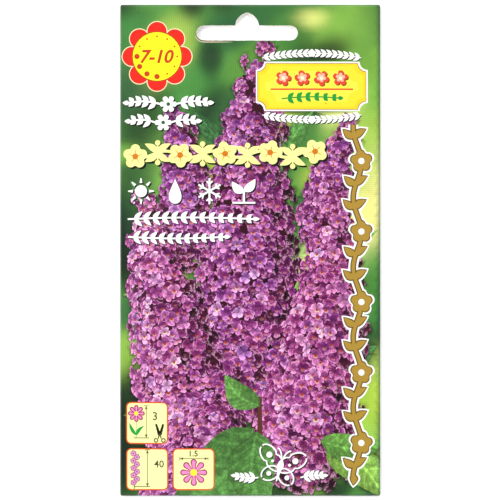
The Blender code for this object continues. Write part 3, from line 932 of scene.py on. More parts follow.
def sprig(start, end, pairs, leafLength, leafWidth, bend=0.0, stem=0.5):
    # a stem bowed by a sine arch, with pairs of leaves that shorten towards its tip
    start, end = np.array(start, float), np.array(end, float)
    run, side = end - start, crossway(end - start)
    heading = math.atan2(run[1], run[0])

    def bowed(t):
        return start + t[:, None] * run + side * (bend * np.sin(math.pi * t))[:, None]

    shapes = [stroke(bowed(np.linspace(0, 1, 12)), stem)]
    at = (np.arange(pairs) + 0.7) / (pairs + 0.4)
    for share, foot in zip(at, bowed(at)):
        for way in ways(heading + np.array([0.75, -0.75])):
            shapes.append(leaves(foot, foot + way * leafLength * (1.1 - 0.5 * share), leafWidth, 0.0, 8)[0])
    way = ways(heading)
    return shapes + [leaves(end - way * 0.3, end + way * leafLength * 0.6, leafWidth, 0.0, 8)[0]]


garlandSizes = {
    "left": -36.2, "right": 20.4, "height": 30.2, "nodes": 9, "swing": 1.0, "wave": 15.2, "stem": 0.9,
    "blossom": 3.9, "leaf": 5.0, "leafWidth": 2.1, "leafTurn": 0.6, "heart": "#d2771e", "drop": (0.6, -0.6),
}


def garlandHeight(x):   # the stem swings as a sine along its length
    return garlandSizes["height"] + garlandSizes["swing"] * np.sin(x * tau / garlandSizes["wave"])


def garlandNodes():
    x = np.linspace(garlandSizes["left"], garlandSizes["right"], garlandSizes["nodes"])
    return np.stack([x, garlandHeight(x)], -1)


def garland():   # five-petalled blossoms and sprays of leaves by turns along a waving stem
    x = np.linspace(garlandSizes["left"] - 3, garlandSizes["right"] + 3, 60)
    shapes = [stroke(np.stack([x, garlandHeight(x)], -1), garlandSizes["stem"])]
    for i, spot in enumerate(garlandNodes()):
        if i % 2 == 0:
            shapes.append(blossom(spot, garlandSizes["blossom"], 5, 0.45, turn=0.3 + i, count=7))
            continue
        turns = np.array([garlandSizes["leafTurn"], math.pi - garlandSizes["leafTurn"]])
        for sign in (-1, 1):
            for way in ways(turns) * [1, sign]:
                bend = 0.4 * sign * np.sign(way[0])
                tip = spot + way * garlandSizes["leaf"]
                shapes.append(leaves(spot, tip, garlandSizes["leafWidth"], bend, 9)[0])
            shapes.append(stroke([spot, spot + [0, sign * 2.6]], 0.5))
            shapes.append(circle(spot + [0, sign * 3.1], 0.85, 12))
    return shapes


def layGarland(pile):   # a crease on each petal, and the heart
    layShadowed(pile, garland(), ornament["cream"], drop=garlandSizes["drop"])
    for i, spot in enumerate(garlandNodes()[::2]):
        creases = [stroke(spot + np.outer([1.0, 2.3], way), [0.3, 0.12])
                   for way in ways(np.arange(5) * tau / 5 + 0.3 + 2 * i)]
        layFlat(pile, garlandSizes["heart"], *creases, circle(spot, 0.95, 14))


def vignette(centre, reach, pairs):   # two sprigs that part from a small blossom
    cx, cy = centre
    shapes = sprig((cx + 2.4, cy), (cx + reach, cy + 0.4), pairs, 3.1, 1.45, 0.7, 0.6)
    shapes += [np.array([2 * cx, 0]) + shape * [-1, 1] for shape in shapes]
    shapes.append(blossom(centre, 2.7, 6, 0.45, count=6))
    return shapes


def sunSign(centre):   # a disc and eight tapered rays
    rays = [stroke(centre + np.outer([2.6, 4.1], way), [0.9, 0.35]) for way in ways(np.arange(8) * tau / 8)]
    return [circle(centre, 1.9, 20)] + rays


def dropSign(centre):   # a sine loop drawn out to a point at the top
    angle = np.arange(24) * tau / 24
    return [centre + np.stack([2.9 * np.sin(angle) * np.sin(angle / 2) ** 1.6, 4.0 * np.cos(angle)], -1)]


def frostSign(centre):   # six arms, each with two short forks
    shapes = []
    for angle in np.arange(6) * tau / 6 + tau / 12:
        way = ways(angle)
        shapes.append(stroke(centre + np.outer([0.1, 4.0], way), 0.62))
        for arm in ways(angle + np.array([0.8, -0.8])):
            shapes.append(stroke([centre + 2.2 * way, centre + 2.2 * way + 1.3 * arm], 0.5))
    return shapes


def sproutSign(centre):   # two leaves on a stem over a line of ground
    shapes = [stroke(centre + np.array([(0, -3.6), (0, 0.6)]), 0.7)]
    shapes.append(stroke(centre + np.array([(-3.6, -3.7), (3.6, -3.7)]), 0.6))
    for foot, tip, bend in (((0, -0.6), (-3.8, 3.0), 0.5), ((0, -0.2), (3.6, 3.8), -0.5)):
        shapes.append(leaves(centre + np.array(foot), centre + np.array(tip), 2.7, bend, 9)[0])
    return shapes


def laySigns(pile):
    for draw, x in ((sunSign, -34.4), (dropSign, -23.6), (frostSign, -12.8), (sproutSign, -2.0)):
        layShadowed(pile, draw(np.array([x, 18.6])), ornament["white"])
    layShadowed(pile, sprig((-38.6, 9.8), (1.0, 9.8), 13, 3.3, 1.35, 0.5, 0.55), ornament["white"])
    layShadowed(pile, sprig((-38.6, 4.2), (-8.0, 4.2), 11, 3.0, 1.3, -0.5, 0.55), ornament["white"])


vineSizes = {
    "top": 39.5, "bottom": -71.5, "x": 33.7, "swing": 1.3, "wave": 22.0, "stem": 1.5, "first": 35.5,
    "step": 7.4, "nodes": 15, "blossom": 3.5, "leaf": 4.6, "leafWidth": 2.5, "leafTurn": 0.62,
    "layers": ((0.8, "white"), (0.2, "goldLine"), (-0.2, "gold")),   # how much wider, and the ink
}


def vineAt(y):   # the stem swings as a sine along the border
    return np.stack([vineSizes["x"] + vineSizes["swing"] * np.sin(y * tau / vineSizes["wave"]), y], -1)


def vineNodes():
    return vineAt(vineSizes["first"] - vineSizes["step"] * np.arange(vineSizes["nodes"]))


def vine(grow):   # leaves on the stem's swings, with a blossom at every third node
    line = vineAt(np.linspace(vineSizes["top"], vineSizes["bottom"], 110))
    shapes = [stroke(line, vineSizes["stem"] + 2 * grow)]
    width = vineSizes["leafWidth"] + 2 * grow
    for i, foot in enumerate(vineNodes()):
        if i % 3 == 1:
            shapes.append(blossom(foot, vineSizes["blossom"] + grow, 5, 0.42, turn=0.4 * i, count=7))
            continue
        for way in ways(np.array([vineSizes["leafTurn"], math.pi - vineSizes["leafTurn"]])):
            tip = foot + way * (vineSizes["leaf"] + grow)
            shapes.append(leaves(foot - way * (0.2 + grow), tip, width, 0.4, 9)[0])
    return shapes + [leaves(line[-1] + [0, 1 + grow], line[-1] - [0, 2.6 + grow], width - 0.1, 0.3, 9)[0]]


def layVine(pile):
    for grow, ink in vineSizes["layers"]:
        layFlat(pile, ornament[ink], *vine(grow))
    layFlat(pile, ornament["white"], *[circle(spot, 1.0, 12) for spot in vineNodes()[1::3]])


def butterfly(centre, size):
    # two pairs of outlined wings with a spot in each, about a thin body with feelers
    upper = turned(blossom((0, 0), 1.0, 2, 0.38, count=14) * [1, 0.62], 0.7) + [0.68, 0.6]
    lower = turned(circle((0, 0), 0.52, 22) * [1.15, 0.85], -0.7) + [0.52, -0.38]
    t = np.linspace(0, 1, 7)
    feeler = np.stack([0.05 + 0.4 * t ** 1.4, 0.72 + 0.6 * np.sin(t * 1.5)], -1)
    wings = [stroke(line, 0.1) for line in (upper, lower, feeler)]
    wings += [circle((0.86, 0.76), 0.2, 14), circle((0.56, 0.42), 0.1, 10), circle((0.6, -0.42), 0.16, 12)]
    wings += [shape * [-1, 1] for shape in wings]
    wings.append(stroke([(0, -0.8), (0, -0.1), (0, 0.75)], [0.08, 0.22, 0.15]))
    return [np.array(centre) + size * turned(shape, -0.25) for shape in wings]


plaque = {
    "centre": (19.4, 51.6), "size": (34.0, 14.4), "scoop": 2.6, "white": 0.45, "line": 0.16,
    "yellows": [(0.0, "#f3d528"), (0.7, "#f9e136"), (2.4, "#feec4c"), (4.4, "#fff36e")],   # inset and ink
    "darkLine": "#8c3b1c", "red": "#e04a30", "pale": "#f7b9a0", "green": "#1f9a3c", "heart": "#fff6c8",
    "shadow": "#3a1c14", "laurel": (15.6, 9.0), "laurelRise": 1.5, "laurelPairs": 8,
}


def scoopedBox(centre, size, scoop, count=7):   # a box whose corners are cut out by quarter circles
    angle = (np.array([1.5, 0.0, 0.5, 1.0]) * math.pi)[:, None] + np.linspace(0, -math.pi / 2, count)
    points = (boxCorners * np.array(size) / 2)[:, None] + scoop * ways(angle)
    return np.array(centre) + points.reshape(-1, 2)


def laurel(centre, size, rise, pairs):
    # leaf pairs on a parabola that arches over the plaque, from both ends to a blossom at its middle
    cx, cy = centre

    def arched(s):
        return np.stack([cx + size[0] * s, cy + size[1] + rise * (1 - s ** 2)], -1)

    shapes = []
    for sign in (-1, 1):
        shapes.append(stroke(arched(sign * np.linspace(1, 0.06, 14)), 0.3))
        at = sign * (np.arange(pairs) + 1.6) / (pairs + 0.9)
        headings = np.arctan2(2 * rise * at * sign, -size[0] * sign)
        for foot, heading in zip(arched(at), headings):
            for way in ways(heading + np.array([0.6, -0.6])):
                shapes.append(leaves(foot, foot + way * 2.3, 0.95, 0.0, 7)[0])
    return shapes + [blossom((cx, cy + size[1] + rise), 1.3, 5, 0.4, turn=0.3, count=5)]


def layPlaque(pile):
    centre, size = np.array(plaque["centre"]), np.array(plaque["size"])
    line = plaque["line"]
    for grow, ink in ((plaque["white"] + line, ornament["white"]), (line, plaque["darkLine"])):
        layFlat(pile, ink, scoopedBox(centre, size + 2 * grow, plaque["scoop"]))
    for inset, ink in plaque["yellows"]:
        layFlat(pile, ink, scoopedBox(centre, size - 2 * inset, plaque["scoop"] + 0.4 * inset))
    for i, x in enumerate((-9.0, -3.0, 3.0, 9.0)):
        spot = centre + [x, 2.6]
        layers = (([0.22, -0.22], 2.5, "shadow"), ([0, 0], 2.5, "red"), ([0, 0.2], 1.5, "pale"))
        for move, reach, ink in layers:
            layFlat(pile, plaque[ink], blossom(spot + move, reach, 5, 0.42, turn=0.5 * i, count=6))
        layFlat(pile, plaque["heart"], circle(spot, 0.55, 12))
    layFlat(pile, plaque["red"], stroke(centre + [(-13.0, -0.9), (13.0, -0.9)], 0.5))
    twig = sprig(centre + [-9.5, -3.9], centre + [8.5, -3.7], 6, 2.5, 1.35, 0.5, 0.45)
    layFlat(pile, plaque["green"], *twig)
    arch = laurel(centre, plaque["laurel"], plaque["laurelRise"], plaque["laurelPairs"])
    for shapes in (arch, [shape * [1, -1] + [0, 2 * centre[1]] for shape in arch]):
        layShadowed(pile, shapes, ornament["white"], drop=(0.22, -0.28))


layPlaque(front)
for centre, reach, pairs in (((-25.8, 46.0), 12.6, 4), ((-27.4, 40.2), 10.4, 3)):
    layShadowed(front, vignette(centre, reach, pairs), ornament["white"])
    layFlat(front, ornament["green"], circle(centre, 0.6, 12))
layGarland(front)
laySigns(front)
layVine(front)
layShadowed(front, butterfly((9.2, -69.0), 4.9), ornament["white"], drop=(0.3, -0.3))
for start, end in ((2.6, -4.6), (15.8, 23.0)):
    twig = sprig((start, -71.6), (end, -71.0), 4, 2.7, 1.15, 0.4, 0.5)
    layShadowed(front, twig, ornament["white"], drop=(0.3, -0.3))


# Three cards with the plant's height, spike length and flower width

card = {
    "size": 13.3, "corner": 1.6, "line": 0.4, "paper": "#fdfbb0", "edge": "#dd5a22", "ink": "#5f6030",
    "figure": "#4a4c2c", "blade": "#14160a", "leaf": "#1fa33f", "stem": "#a8c878", "heart": "#fff03c",
    "petal": "#f690c8", "petalEdge": "#9c2c62", "outline": (0.2, -0.18),   # how far each petal layer is grown
    "smallPetal": "#dc96c8", "smallEye": "#6a2450",
    "first": (-32.5, -54.4), "second": (-32.45, -69.0), "third": (-17.85, -69.0),
}


def layCard(pile, centre):
    for inset, ink in ((0.0, "edge"), (card["line"], "paper")):
        size, corner = card["size"] - 2 * inset, card["corner"] - inset
        layFlat(pile, card[ink], roundedBox(centre, (size, size), corner))


def petal(foot, tip, width, count=7):   # a drop: straight sides that widen to a half-round end
    foot, tip = np.array(foot, float), np.array(tip, float)
    way = (tip - foot) / np.linalg.norm(tip - foot)
    side = crossway(way)
    angle = np.linspace(-math.pi / 2, math.pi / 2, count)[:, None]
    end = tip + width / 2 * ((np.cos(angle) - 1) * way + np.sin(angle) * side)
    return np.concatenate([end, [foot + side * width / 5, foot - side * width / 5]])


def layDaisy(pile, centre, reach, petals, fullness):
    # each petal is a drop with a darker outline; they stand apart, round a plain heart
    for grow, ink in zip(card["outline"], ("petalEdge", "petal")):
        width = reach * fullness + 2 * grow
        layFlat(pile, card[ink], *[petal(centre + way * reach * 0.2, centre + way * (reach + grow), width)
                                   for way in ways(np.arange(petals) * tau / petals + tau / 4)])
    layFlat(pile, card["heart"], circle(centre, reach * 0.27, 16))


def layLine(pile, start, end, width=0.2):
    layFlat(pile, card["ink"], stroke([start, end], width))


def layArrow(pile, point, way):   # a small filled head whose tip is at the point
    foot, side = np.array(point) - 1.05 * np.array(way), 0.48 * crossway(way)
    layFlat(pile, card["ink"], np.array([point, foot + side, foot - side]))


def layHeight(pile, x, low, high, foot):   # an upright measure: bars at its ends, the lower one long
    layLine(pile, (x, low), (x, high))
    layLine(pile, (x - 0.8, high), (x + 0.8, high))
    layLine(pile, (x - foot, low), (x + 0.9, low), 0.26)
    layArrow(pile, (x, high), (0, 1))
    layArrow(pile, (x, low), (0, -1))


def layWidth(pile, y, left, right):   # a level measure between two short bars
    layLine(pile, (left, y), (right, y))
    for x, sign in ((left, -1), (right, 1)):
        layLine(pile, (x, y - 0.6), (x, y + 0.6))
        layArrow(pile, (x, y), (sign, 0))


def layScissors(pile, cross, reach):   # two tapered blades that cross, and a ring below each
    cross = np.array(cross, float)
    for sign in (-1, 1):
        blade = stroke([cross + [sign * 0.12, -0.3], cross + [sign * 1.15, reach]], [1.0, 0.6])
        shank = stroke([cross + [0, 0.1], cross + [sign * 0.5, -1.5]], [0.5, 0.36])
        ring = cross + [sign * 1.16, -2.05]
        layFlat(pile, card["blade"], blade)
        layFlat(pile, card["figure"], shank, circle(ring, 0.74, 16))
        layFlat(pile, card["paper"], circle(ring, 0.4, 14))


def layHeightCard(pile):   # a daisy on its stem, how tall it grows, and shears for pruning
    layCard(pile, card["first"])
    layFlat(pile, card["stem"], stroke([(-35.9, -54.0), (-35.95, -59.0)], 0.25))
    layDaisy(pile, (-35.87, -51.4), 2.5, 8, 0.42)
    for tip, bend in (((-38.1, -54.2), 0.35), ((-33.4, -55.3), 0.45)):
        layFlat(pile, card["leaf"], leaves((-35.9, -58.3), tip, 1.1, bend, 9))
    layHeight(pile, -32.75, -59.1, -48.95, 4.0)
    layFlat(pile, card["figure"], numerals("3", (-30.0, -52.2), 2.5, 0.0, 0.015))
    layScissors(pile, (-28.5, -57.8), 3.1)


def laySpikeCard(pile):   # a stack of little blossoms and the length of a flower spike
    layCard(pile, card["second"])
    layFlat(pile, card["leaf"], stroke([(-36.6, -75.4), (-36.3, -73.0)], 0.3))
    for i, at in enumerate(np.linspace(-73.2, -64.0, 9)):
        spot = (-36.25 + 0.55 * (-1) ** (i + 1), at)
        for reach, ink in ((1.02, "petalEdge"), (0.8, "smallPetal")):
            layFlat(pile, card[ink], blossom(spot, reach, 5, 0.3, turn=0.7 * i, count=5))
        layFlat(pile, card["smallEye"], circle(spot, 0.22, 8))
    layHeight(pile, -32.4, -74.5, -62.9, 4.3)
    layFlat(pile, card["figure"], numerals("40", (-28.75, -67.3), 2.2, 0.0, 0.015))


def layFlowerCard(pile):   # one daisy and how wide it opens
    layCard(pile, card["third"])
    layDaisy(pile, (-17.8, -70.0), 4.1, 8, 0.4)
    layWidth(pile, -65.6, -22.2, -13.3)
    layFlat(pile, card["figure"], numerals("1.5", (-17.8, -64.0), 1.8, 0.0, 0.03))


def layCards(pile):
    layHeightCard(pile)
    laySpikeCard(pile)
    layFlowerCard(pile)


layCards(front)


# a strip of bare paper left by the punch, and inside it a painted shadow line
slotTearAndShadow = {
    "from": 1.12, "to": 1.5, "run": (1.2, -4.6),
    "layers": ((0.46, 0.34, "#cfc0a4"), (0.1, 0.3, "#2c281c")),   # how far outside the slot, width and ink
}


def laySlotTearAndShadow(pile):
    # along the slot's lower left the punch has crushed the print to bare paper, and inside it lies a dark
    # line of painted shadow where the back layer shows in the gap; each follows the slot's round end and its
    # lower side, and thins out to both ends like a sine arch
    end, reach = slot["height"] / 2, slot["length"] / 2 - slot["height"] / 2
    for out, width, ink in slotTearAndShadow["layers"]:
        arc = ways(np.linspace(slotTearAndShadow["from"], slotTearAndShadow["to"], 7) * math.pi) * (end + out) - [reach, 0]
        first, last = slotTearAndShadow["run"]
        run = np.stack([np.linspace(first - reach, last, 8), np.full(8, -end - out)], -1)
        line = np.concatenate([arc, run]) + [slot["x"], slot["y"]]
        arch = np.sin(np.linspace(0.15, math.pi - 0.05, len(line))) ** 0.5
        layFlat(pile, ink, stroke(line, width * arch))


laySlotTearAndShadow(front)
dust = {"specks": 14, "radius": (0.1, 0.2), "ink": "#2b281c", "seed": 5}
rng = np.random.default_rng(dust["seed"])
places = rng.uniform([-39, -75], [39, 75], (dust["specks"], 2))
for place, radius in zip(places, rng.uniform(*dust["radius"], dust["specks"])):
    layFlat(front, dust["ink"], circle(place, radius, 7))


paintedFoldShade = {   # painted shade where the sheet turns over, away from the light: its width, and its share of each ink
    "right": (0.72, np.array([0.68, 0.62, 0.50])),
    "left": (0.30, np.array([0.30, 0.22, 0.26])),
    "top": (0.42, np.array([0.45, 0.36, 0.36])),
    "bottom": (0.52, np.array([0.45, 0.42, 0.30])),
}


def frontEdgeShade(points):   # painted fold shade: off each edge, exp(-(distance / width)^4) takes its share of each ink away
    shade = np.ones((len(points), 3))
    reach = {"right": packet["halfWidth"] - points[:, 0], "left": packet["halfWidth"] + points[:, 0],
             "top": packet["halfLength"] - points[:, 1], "bottom": packet["halfLength"] + points[:, 1]}
    for side, (width, share) in paintedFoldShade.items():
        near = np.clip(reach[side], 0, None)
        shade *= 1 - share * np.exp(-(near / width) ** 4)[:, None]
    return shade


def foldedOutline(share):
    # the flat border pushed out round the fold by a share of a right angle; its corners are quarter ellipses
    reach = share * math.pi / 2 * np.array([packet["sideRadius"], packet["endRadius"]])
    quarter = [packet["flatX"], packet["flatY"]] + reach * ways(np.linspace(0, math.pi / 2, 5))
    left = quarter[::-1] * [-1, 1]
    return np.concatenate([quarter, left, -quarter, -left])


def settle(piece, nodes):   # the piece rides on the packet and stands for these nodes
    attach(piece, "root")
    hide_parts(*nodes)


settle(paperSheet("printedFront", front, foldedOutline(1.0), [slotOutline()],
                  [foldedOutline(share) for share in (0.0, 0.25, 0.5, 0.75)], 1.7, foldFront, greeneryAt,
                  printMaterials, frontEdgeShade), ["front_panel"])


# The four folds: the lower quarter of each turn, from upright to flat underneath. A corner is shared at 45
# degrees.

def foldPanel(side):
    # a corner of the outline has five points; a fold runs from one corner's middle to the next one's
    outer, inner = foldedOutline(2.0), foldedOutline(1.0)
    first = {"right": 17, "top": 2, "left": 7, "bottom": 12}[side]
    along = [(first + i) % 20 for i in range(6)]
    return np.concatenate([inner[along], outer[along][::-1]])


for side in ("left", "right", "top", "bottom"):
    guides = [foldedOutline(share) for share in (1.25, 1.5, 1.75)]
    piece = paperSheet(side + "Fold", front, foldPanel(side), [], guides, 1.7, foldFront, greeneryAt,
                       printMaterials, frontEdgeShade)
    settle(piece, [side + "_fold"])


# The back, drawn as a reader sees it from behind: x to the reader's right, which is the packet's left

def backPlace(height):   # a sheet that faces down, whose outer side lies at height(x)
    def place(points, depth):
        x, y = points.T
        return np.stack([-x, y, height(x) + depth], -1)
    return place


backPrint = {
    "paper": "#fbf8ea", "cream": "#f4f2cf", "green": "#3f8a3c", "darkGreen": "#1f5a2c", "line": "#6fae55",
    "purple": "#a4569a", "lilac": "#b56cab", "brown": "#8a5a32", "seed": "#3a2412", "root": "#e9e2c6",
    "figure": "#ffffff", "pale": "#e9efc9",
    "frame": ((3.2, 4.0, "green"), (3.9, 3.4, "paper"), (4.5, 3.0, "line"), (4.75, 2.8, "paper")),
    "misfit": 0.25,   # mm that the two halves of the print miss each other by at the seam
}


def layBackFrame(pile):   # rounded boxes inside one another: inset, corner and ink
    for inset, corner, ink in backPrint["frame"]:
        size = (2 * (packet["halfWidth"] - inset), 131.4 - 2 * inset)
        layFlat(pile, backPrint[ink], roundedBox((0, -1.5), size, corner))


calendar = {
    "left": -33.0, "right": 33.0, "top": 33.0, "row": 5.6, "gap": 0.5,
    "bars": [   # row, start and end by month, ink: sowing under cover, planting out, flowering, seed
        (0, 2.0, 4.4, "#7db24a"), (1, 5.0, 6.5, "#8a5a32"), (2, 7.0, 10.9, "#a4569a"),
        (3, 9.5, 11.2, "#c79a2e"),
    ],
}


def layCalendar(pile):   # twelve columns under plain numbers, and one coloured bar in each row
    width = (calendar["right"] - calendar["left"]) / 12
    top, row, cell = calendar["top"], calendar["row"], width - calendar["gap"]
    for month in range(12):
        x = calendar["left"] + (month + 0.5) * width
        layFlat(pile, backPrint["green"], roundedBox((x, top), (cell, row - 1.2), 0.7))
        layFlat(pile, backPrint["figure"], numerals(str(month + 1), (x, top), 2.5))
        for line in range(4):
            ink = backPrint["cream" if (month + line) % 2 else "pale"]
            layFlat(pile, ink, roundedBox((x, top - (line + 1) * row), (cell, row - calendar["gap"]), 0.4))
    for line, start, end, ink in calendar["bars"]:
        left, right = (calendar["left"] + (at - 1) * width for at in (start, end))
        size = (right - left, row * 0.52)
        middle = ((left + right) / 2, top - (line + 1) * row)
        layFlat(pile, ink, roundedBox(middle, size, size[1] / 2 - 0.01))


def layBackSigns(pile):   # seedling, water, sun and frost, each in a ring
    for x, draw in ((-25.5, sproutSign), (-8.5, dropSign), (8.5, sunSign), (25.5, frostSign)):
        layFlat(pile, backPrint["green"], circle((x, -9.5), 6.6, 36))
        layFlat(pile, backPrint["cream"], circle((x, -9.5), 6.1, 36))
        layFlat(pile, backPrint["darkGreen"], *draw(np.array([x, -9.3])))


def layBackSpacing(pile):
    # seeds in the ground, whose top is a low sine: their depth and how far apart they stand, in plain numbers
    x = np.linspace(-33, 33, 40)
    soil = np.concatenate([np.stack([x, -34.0 + 0.35 * np.sin(x * 1.7)], -1), [[33, -46], [-33, -46]]])
    layFlat(pile, backPrint["brown"], soil)
    for at in (-22.0, 0.0, 22.0):
        layFlat(pile, backPrint["seed"], circle((at, -38.4), 1.0, 14))
        layFlat(pile, backPrint["green"], *sprig((at, -34.2), (at, -23.4), 3, 3.6, 1.7, 0.3, 0.45))
        layFlat(pile, backPrint["root"], stroke([(at, -37.4), (at, -34.0)], 0.4))
    for at in (-11.0, 11.0):
        layWidth(pile, -42.2, at - 10.2, at + 10.2)
        layFlat(pile, backPrint["brown"], roundedBox((at, -42.2), (8.4, 3.2), 0.8))
        layFlat(pile, backPrint["figure"], numerals("150", (at, -42.2), 2.2))
    layFlat(pile, backPrint["figure"], numerals("0.5", (27.4, -38.2), 2.2))


def layBackHead(pile):   # a spray of three flower spikes with leaves, in flat inks, at the head of the back
    for start, end in (((-4, 41), (-22, 51)), ((0, 41), (0, 55.5)), ((4, 41), (22, 51))):
        start, run = np.array(start, float), np.subtract(end, start)
        side = crossway(run)
        for i, t in enumerate(np.linspace(0.32, 1.0, 9)):
            for offset in ((-1, 0, 1) if t < 0.93 else (0,)):
                spot = start + t * run + side * offset * 2.5 * (1.06 - t)
                ink = backPrint["lilac" if (i + offset) % 2 else "purple"]
                layFlat(pile, ink, blossom(spot, 1.35 * (1.25 - 0.6 * t), 4, 0.45, turn=0.5 * i, count=4))
        layFlat(pile, backPrint["green"], *sprig(start, start + 0.34 * run, 1, 6.0, 2.6, 0.0, 0.5))
    for sign in (-1, 1):
        twig = sprig((sign * 8, 39.6), (sign * 31, 40.2), 7, 3.2, 1.6, -sign * 0.8, 0.4)
        layFlat(pile, backPrint["line"], *twig)


back = newPrint()
layBackFrame(back)
layBackHead(back)
layCalendar(back)
layBackSigns(back)
layBackSpacing(back)


def backPaperAt(points):   # unprinted paper, a little warmer towards the ends
    tone = 1 - 0.02 * (points[:, 1:2] / packet["halfLength"]) ** 2
    return linear(backPrint["paper"]) * tone * [1.0, 1.0, 0.99]


def backEdgeShade(points):   # the front's print has bled round the folds by a fraction of a millimetre
    near = np.clip(packet["flatX"] - np.abs(points[:, 0]), 0, None)
    return 1 - np.exp(-(near / 0.5) ** 2)[:, None] * np.array([0.55, 0.25, 0.6])


backSheet = {
    "joint": 0.01,                       # mm left between sheets that butt together at a fold
    "lapBottom": packet["lapEdge"] + 0.3, "lapSlope": 3.5, "lapLift": 0.45,
    "halfLength": packet["halfLength"] - 1.05,
}


def lapHeight(x):   # the inner half climbs beside the seam by a cosine step and runs on over the outer one
    rise = np.clip((backSheet["lapBottom"] + backSheet["lapSlope"] - x) / backSheet["lapSlope"], 0, 1)
    return float(backLow[2]) + backSheet["lapLift"] * (1 - np.cos(math.pi * rise)) / 2


def flatHeight(x):
    return np.full(len(x), float(backLow[2]))


def shifted(pile, move):   # the same print, put down a little to one side
    moved = dict(pile)
    moved["outlines"] = [outline + np.array(move) for outline in pile["outlines"]]
    return moved


def rectangle(x0, x1, y0, y1):
    return np.array([(x0, y0), (x1, y0), (x1, y1), (x0, y1)], float)


backSlot = slotOutline(slot["backShift"], slot["backTurn"]) * [-1, 1]
edgeX = packet["flatX"] - backSheet["joint"]
outerPanel = rectangle(-edgeX, packet["lapEdge"], -backSheet["halfLength"], backSheet["halfLength"])
innerPanel = rectangle(-packet["lapEdge"], edgeX, -backSheet["halfLength"], backSheet["halfLength"])
climb = [rectangle(a, b, -70, 70) for a, b in ((5.3, 8.8), (5.9, 8.2), (6.5, 7.6))]
settle(paperSheet("backRight", back, outerPanel, [backSlot], [], 3.0, backPlace(flatHeight), backPaperAt,
                  printMaterials, backEdgeShade), ["back_right_panel"])
misfitBack = shifted(back, (backPrint["misfit"], -backPrint["misfit"]))
settle(paperSheet("backLeft", misfitBack, innerPanel, [backSlot], climb, 3.0, backPlace(lapHeight),
                  backPaperAt, printMaterials, backEdgeShade), ["back_left_panel"])


# The two flaps carry the front's bleed. They are folded over the back and glued.

flap = {"taper": 3.5, "corner": 1.2, "bottomLength": 12.0, "tone": 0.92}


def flapPanel(length):
    # a trapezoid on the fold, its free corners nearly quarter circles; y runs away from the fold
    narrow, r = packet["halfWidth"] - 0.55 - flap["taper"], flap["corner"]
    reach = length - (packet["halfLength"] - packet["flatY"])
    corner = [narrow - r, reach - r] + r * ways(np.linspace(0.22, math.pi / 2, 6))
    foot = np.array([(edgeX, backSheet["joint"])])
    return np.concatenate([foot, corner, corner[::-1] * [-1, 1], foot * [-1, 1]])


def flapPlace(sign):
    # y away from the fold becomes y towards the middle of the packet, on the side that faces down
    def place(points, depth):
        x, y = points.T
        return np.stack([-x * sign, sign * (packet["flatY"] - y), 0 * x + depth], -1)
    return place


def flapInk(sign):   # the greenery, unfolded from the end of the front
    def ink(points):
        x, y = points.T
        onFront = packet["flatY"] + math.pi * packet["endRadius"] + y
        return greeneryAt(np.stack([-x * sign, sign * onFront], -1)) * flap["tone"]
    return ink


def plainShade(points):
    return np.ones((len(points), 3))


flapSlot = np.stack([backSlot[:, 0], packet["flatY"] - backSlot[:, 1]], -1)[::-1]
flaps = (("top", 1, packet["topFlap"], [flapSlot]), ("bottom", -1, flap["bottomLength"], []))
for side, sign, length, holes in flaps:
    piece = paperSheet(side + "Flap", newPrint(), flapPanel(length), holes, [], 3.0, flapPlace(sign),
                       flapInk(sign), printMaterials, plainShade)
    settle(piece, [side + "_flap"])


# The inner sachet: a waxed pillow with crimped seals all round

sachet = {"seal": 4.0, "crimpPitch": 1.2, "crimp": 0.06, "wall": 0.06, "rows": 200, "columns": 120,
          "roughness": 0.5}


def sachetPiece():
    # half the thickness is a product of two square-rooted sine arches inside the seals; the seals carry
    # fine ridges, a sine of |x| + |y|
    u, v = np.meshgrid(np.linspace(-1, 1, sachet["columns"]), np.linspace(-1, 1, sachet["rows"]))
    centre, halves = (sachetLow + sachetHigh) / 2, (sachetHigh - sachetLow) / 2
    x, y = u * halves[0], v * halves[1]
    inX, inY = (np.clip((half - np.abs(at) - sachet["seal"]) / (half - sachet["seal"]), 0, 1)
                for half, at in ((halves[0], x), (halves[1], y)))
    pillow = np.sqrt(np.sin(inX * math.pi / 2) * np.sin(inY * math.pi / 2))
    sealed = np.minimum(inX, inY) <= 0
    ridge = sealed * sachet["crimp"] * np.sin((np.abs(x) + np.abs(y)) * tau / sachet["crimpPitch"])
    half = sachet["wall"] + (halves[2] - sachet["crimp"] - 0.01 - sachet["wall"]) * pillow
    sides = [np.stack([x + centre[0], y + centre[1], centre[2] + sign * half + ridge], -1).reshape(-1, 3)
             for sign in (1, -1)]
    count = u.size
    index = np.arange(count).reshape(u.shape)
    quads = np.stack([index[:-1, :-1], index[:-1, 1:], index[1:, 1:], index[1:, :-1]], -1).reshape(-1, 4)
    border = np.concatenate([index[0, :-1], index[:-1, -1], index[-1, :0:-1], index[:0:-1, 0]])
    following = np.roll(border, -1)
    walls = np.stack([border, border + count, following + count, following], -1)
    mesh = bpy.data.meshes.new("seedSachet")
    faces = np.concatenate([quads, quads[:, ::-1] + count, walls])
    mesh.from_pydata(np.concatenate(sides) * mm, [], faces)
    mesh.polygons.foreach_set("use_smooth", np.ones(len(faces), bool))
    mesh.materials.append(paperShader("glassinePaperHeatSealed", sachetInk, sachet["roughness"], 0.0))
    piece = bpy.data.objects.new("seedSachet", mesh)
    bpy.context.scene.collection.objects.link(piece)
    return piece


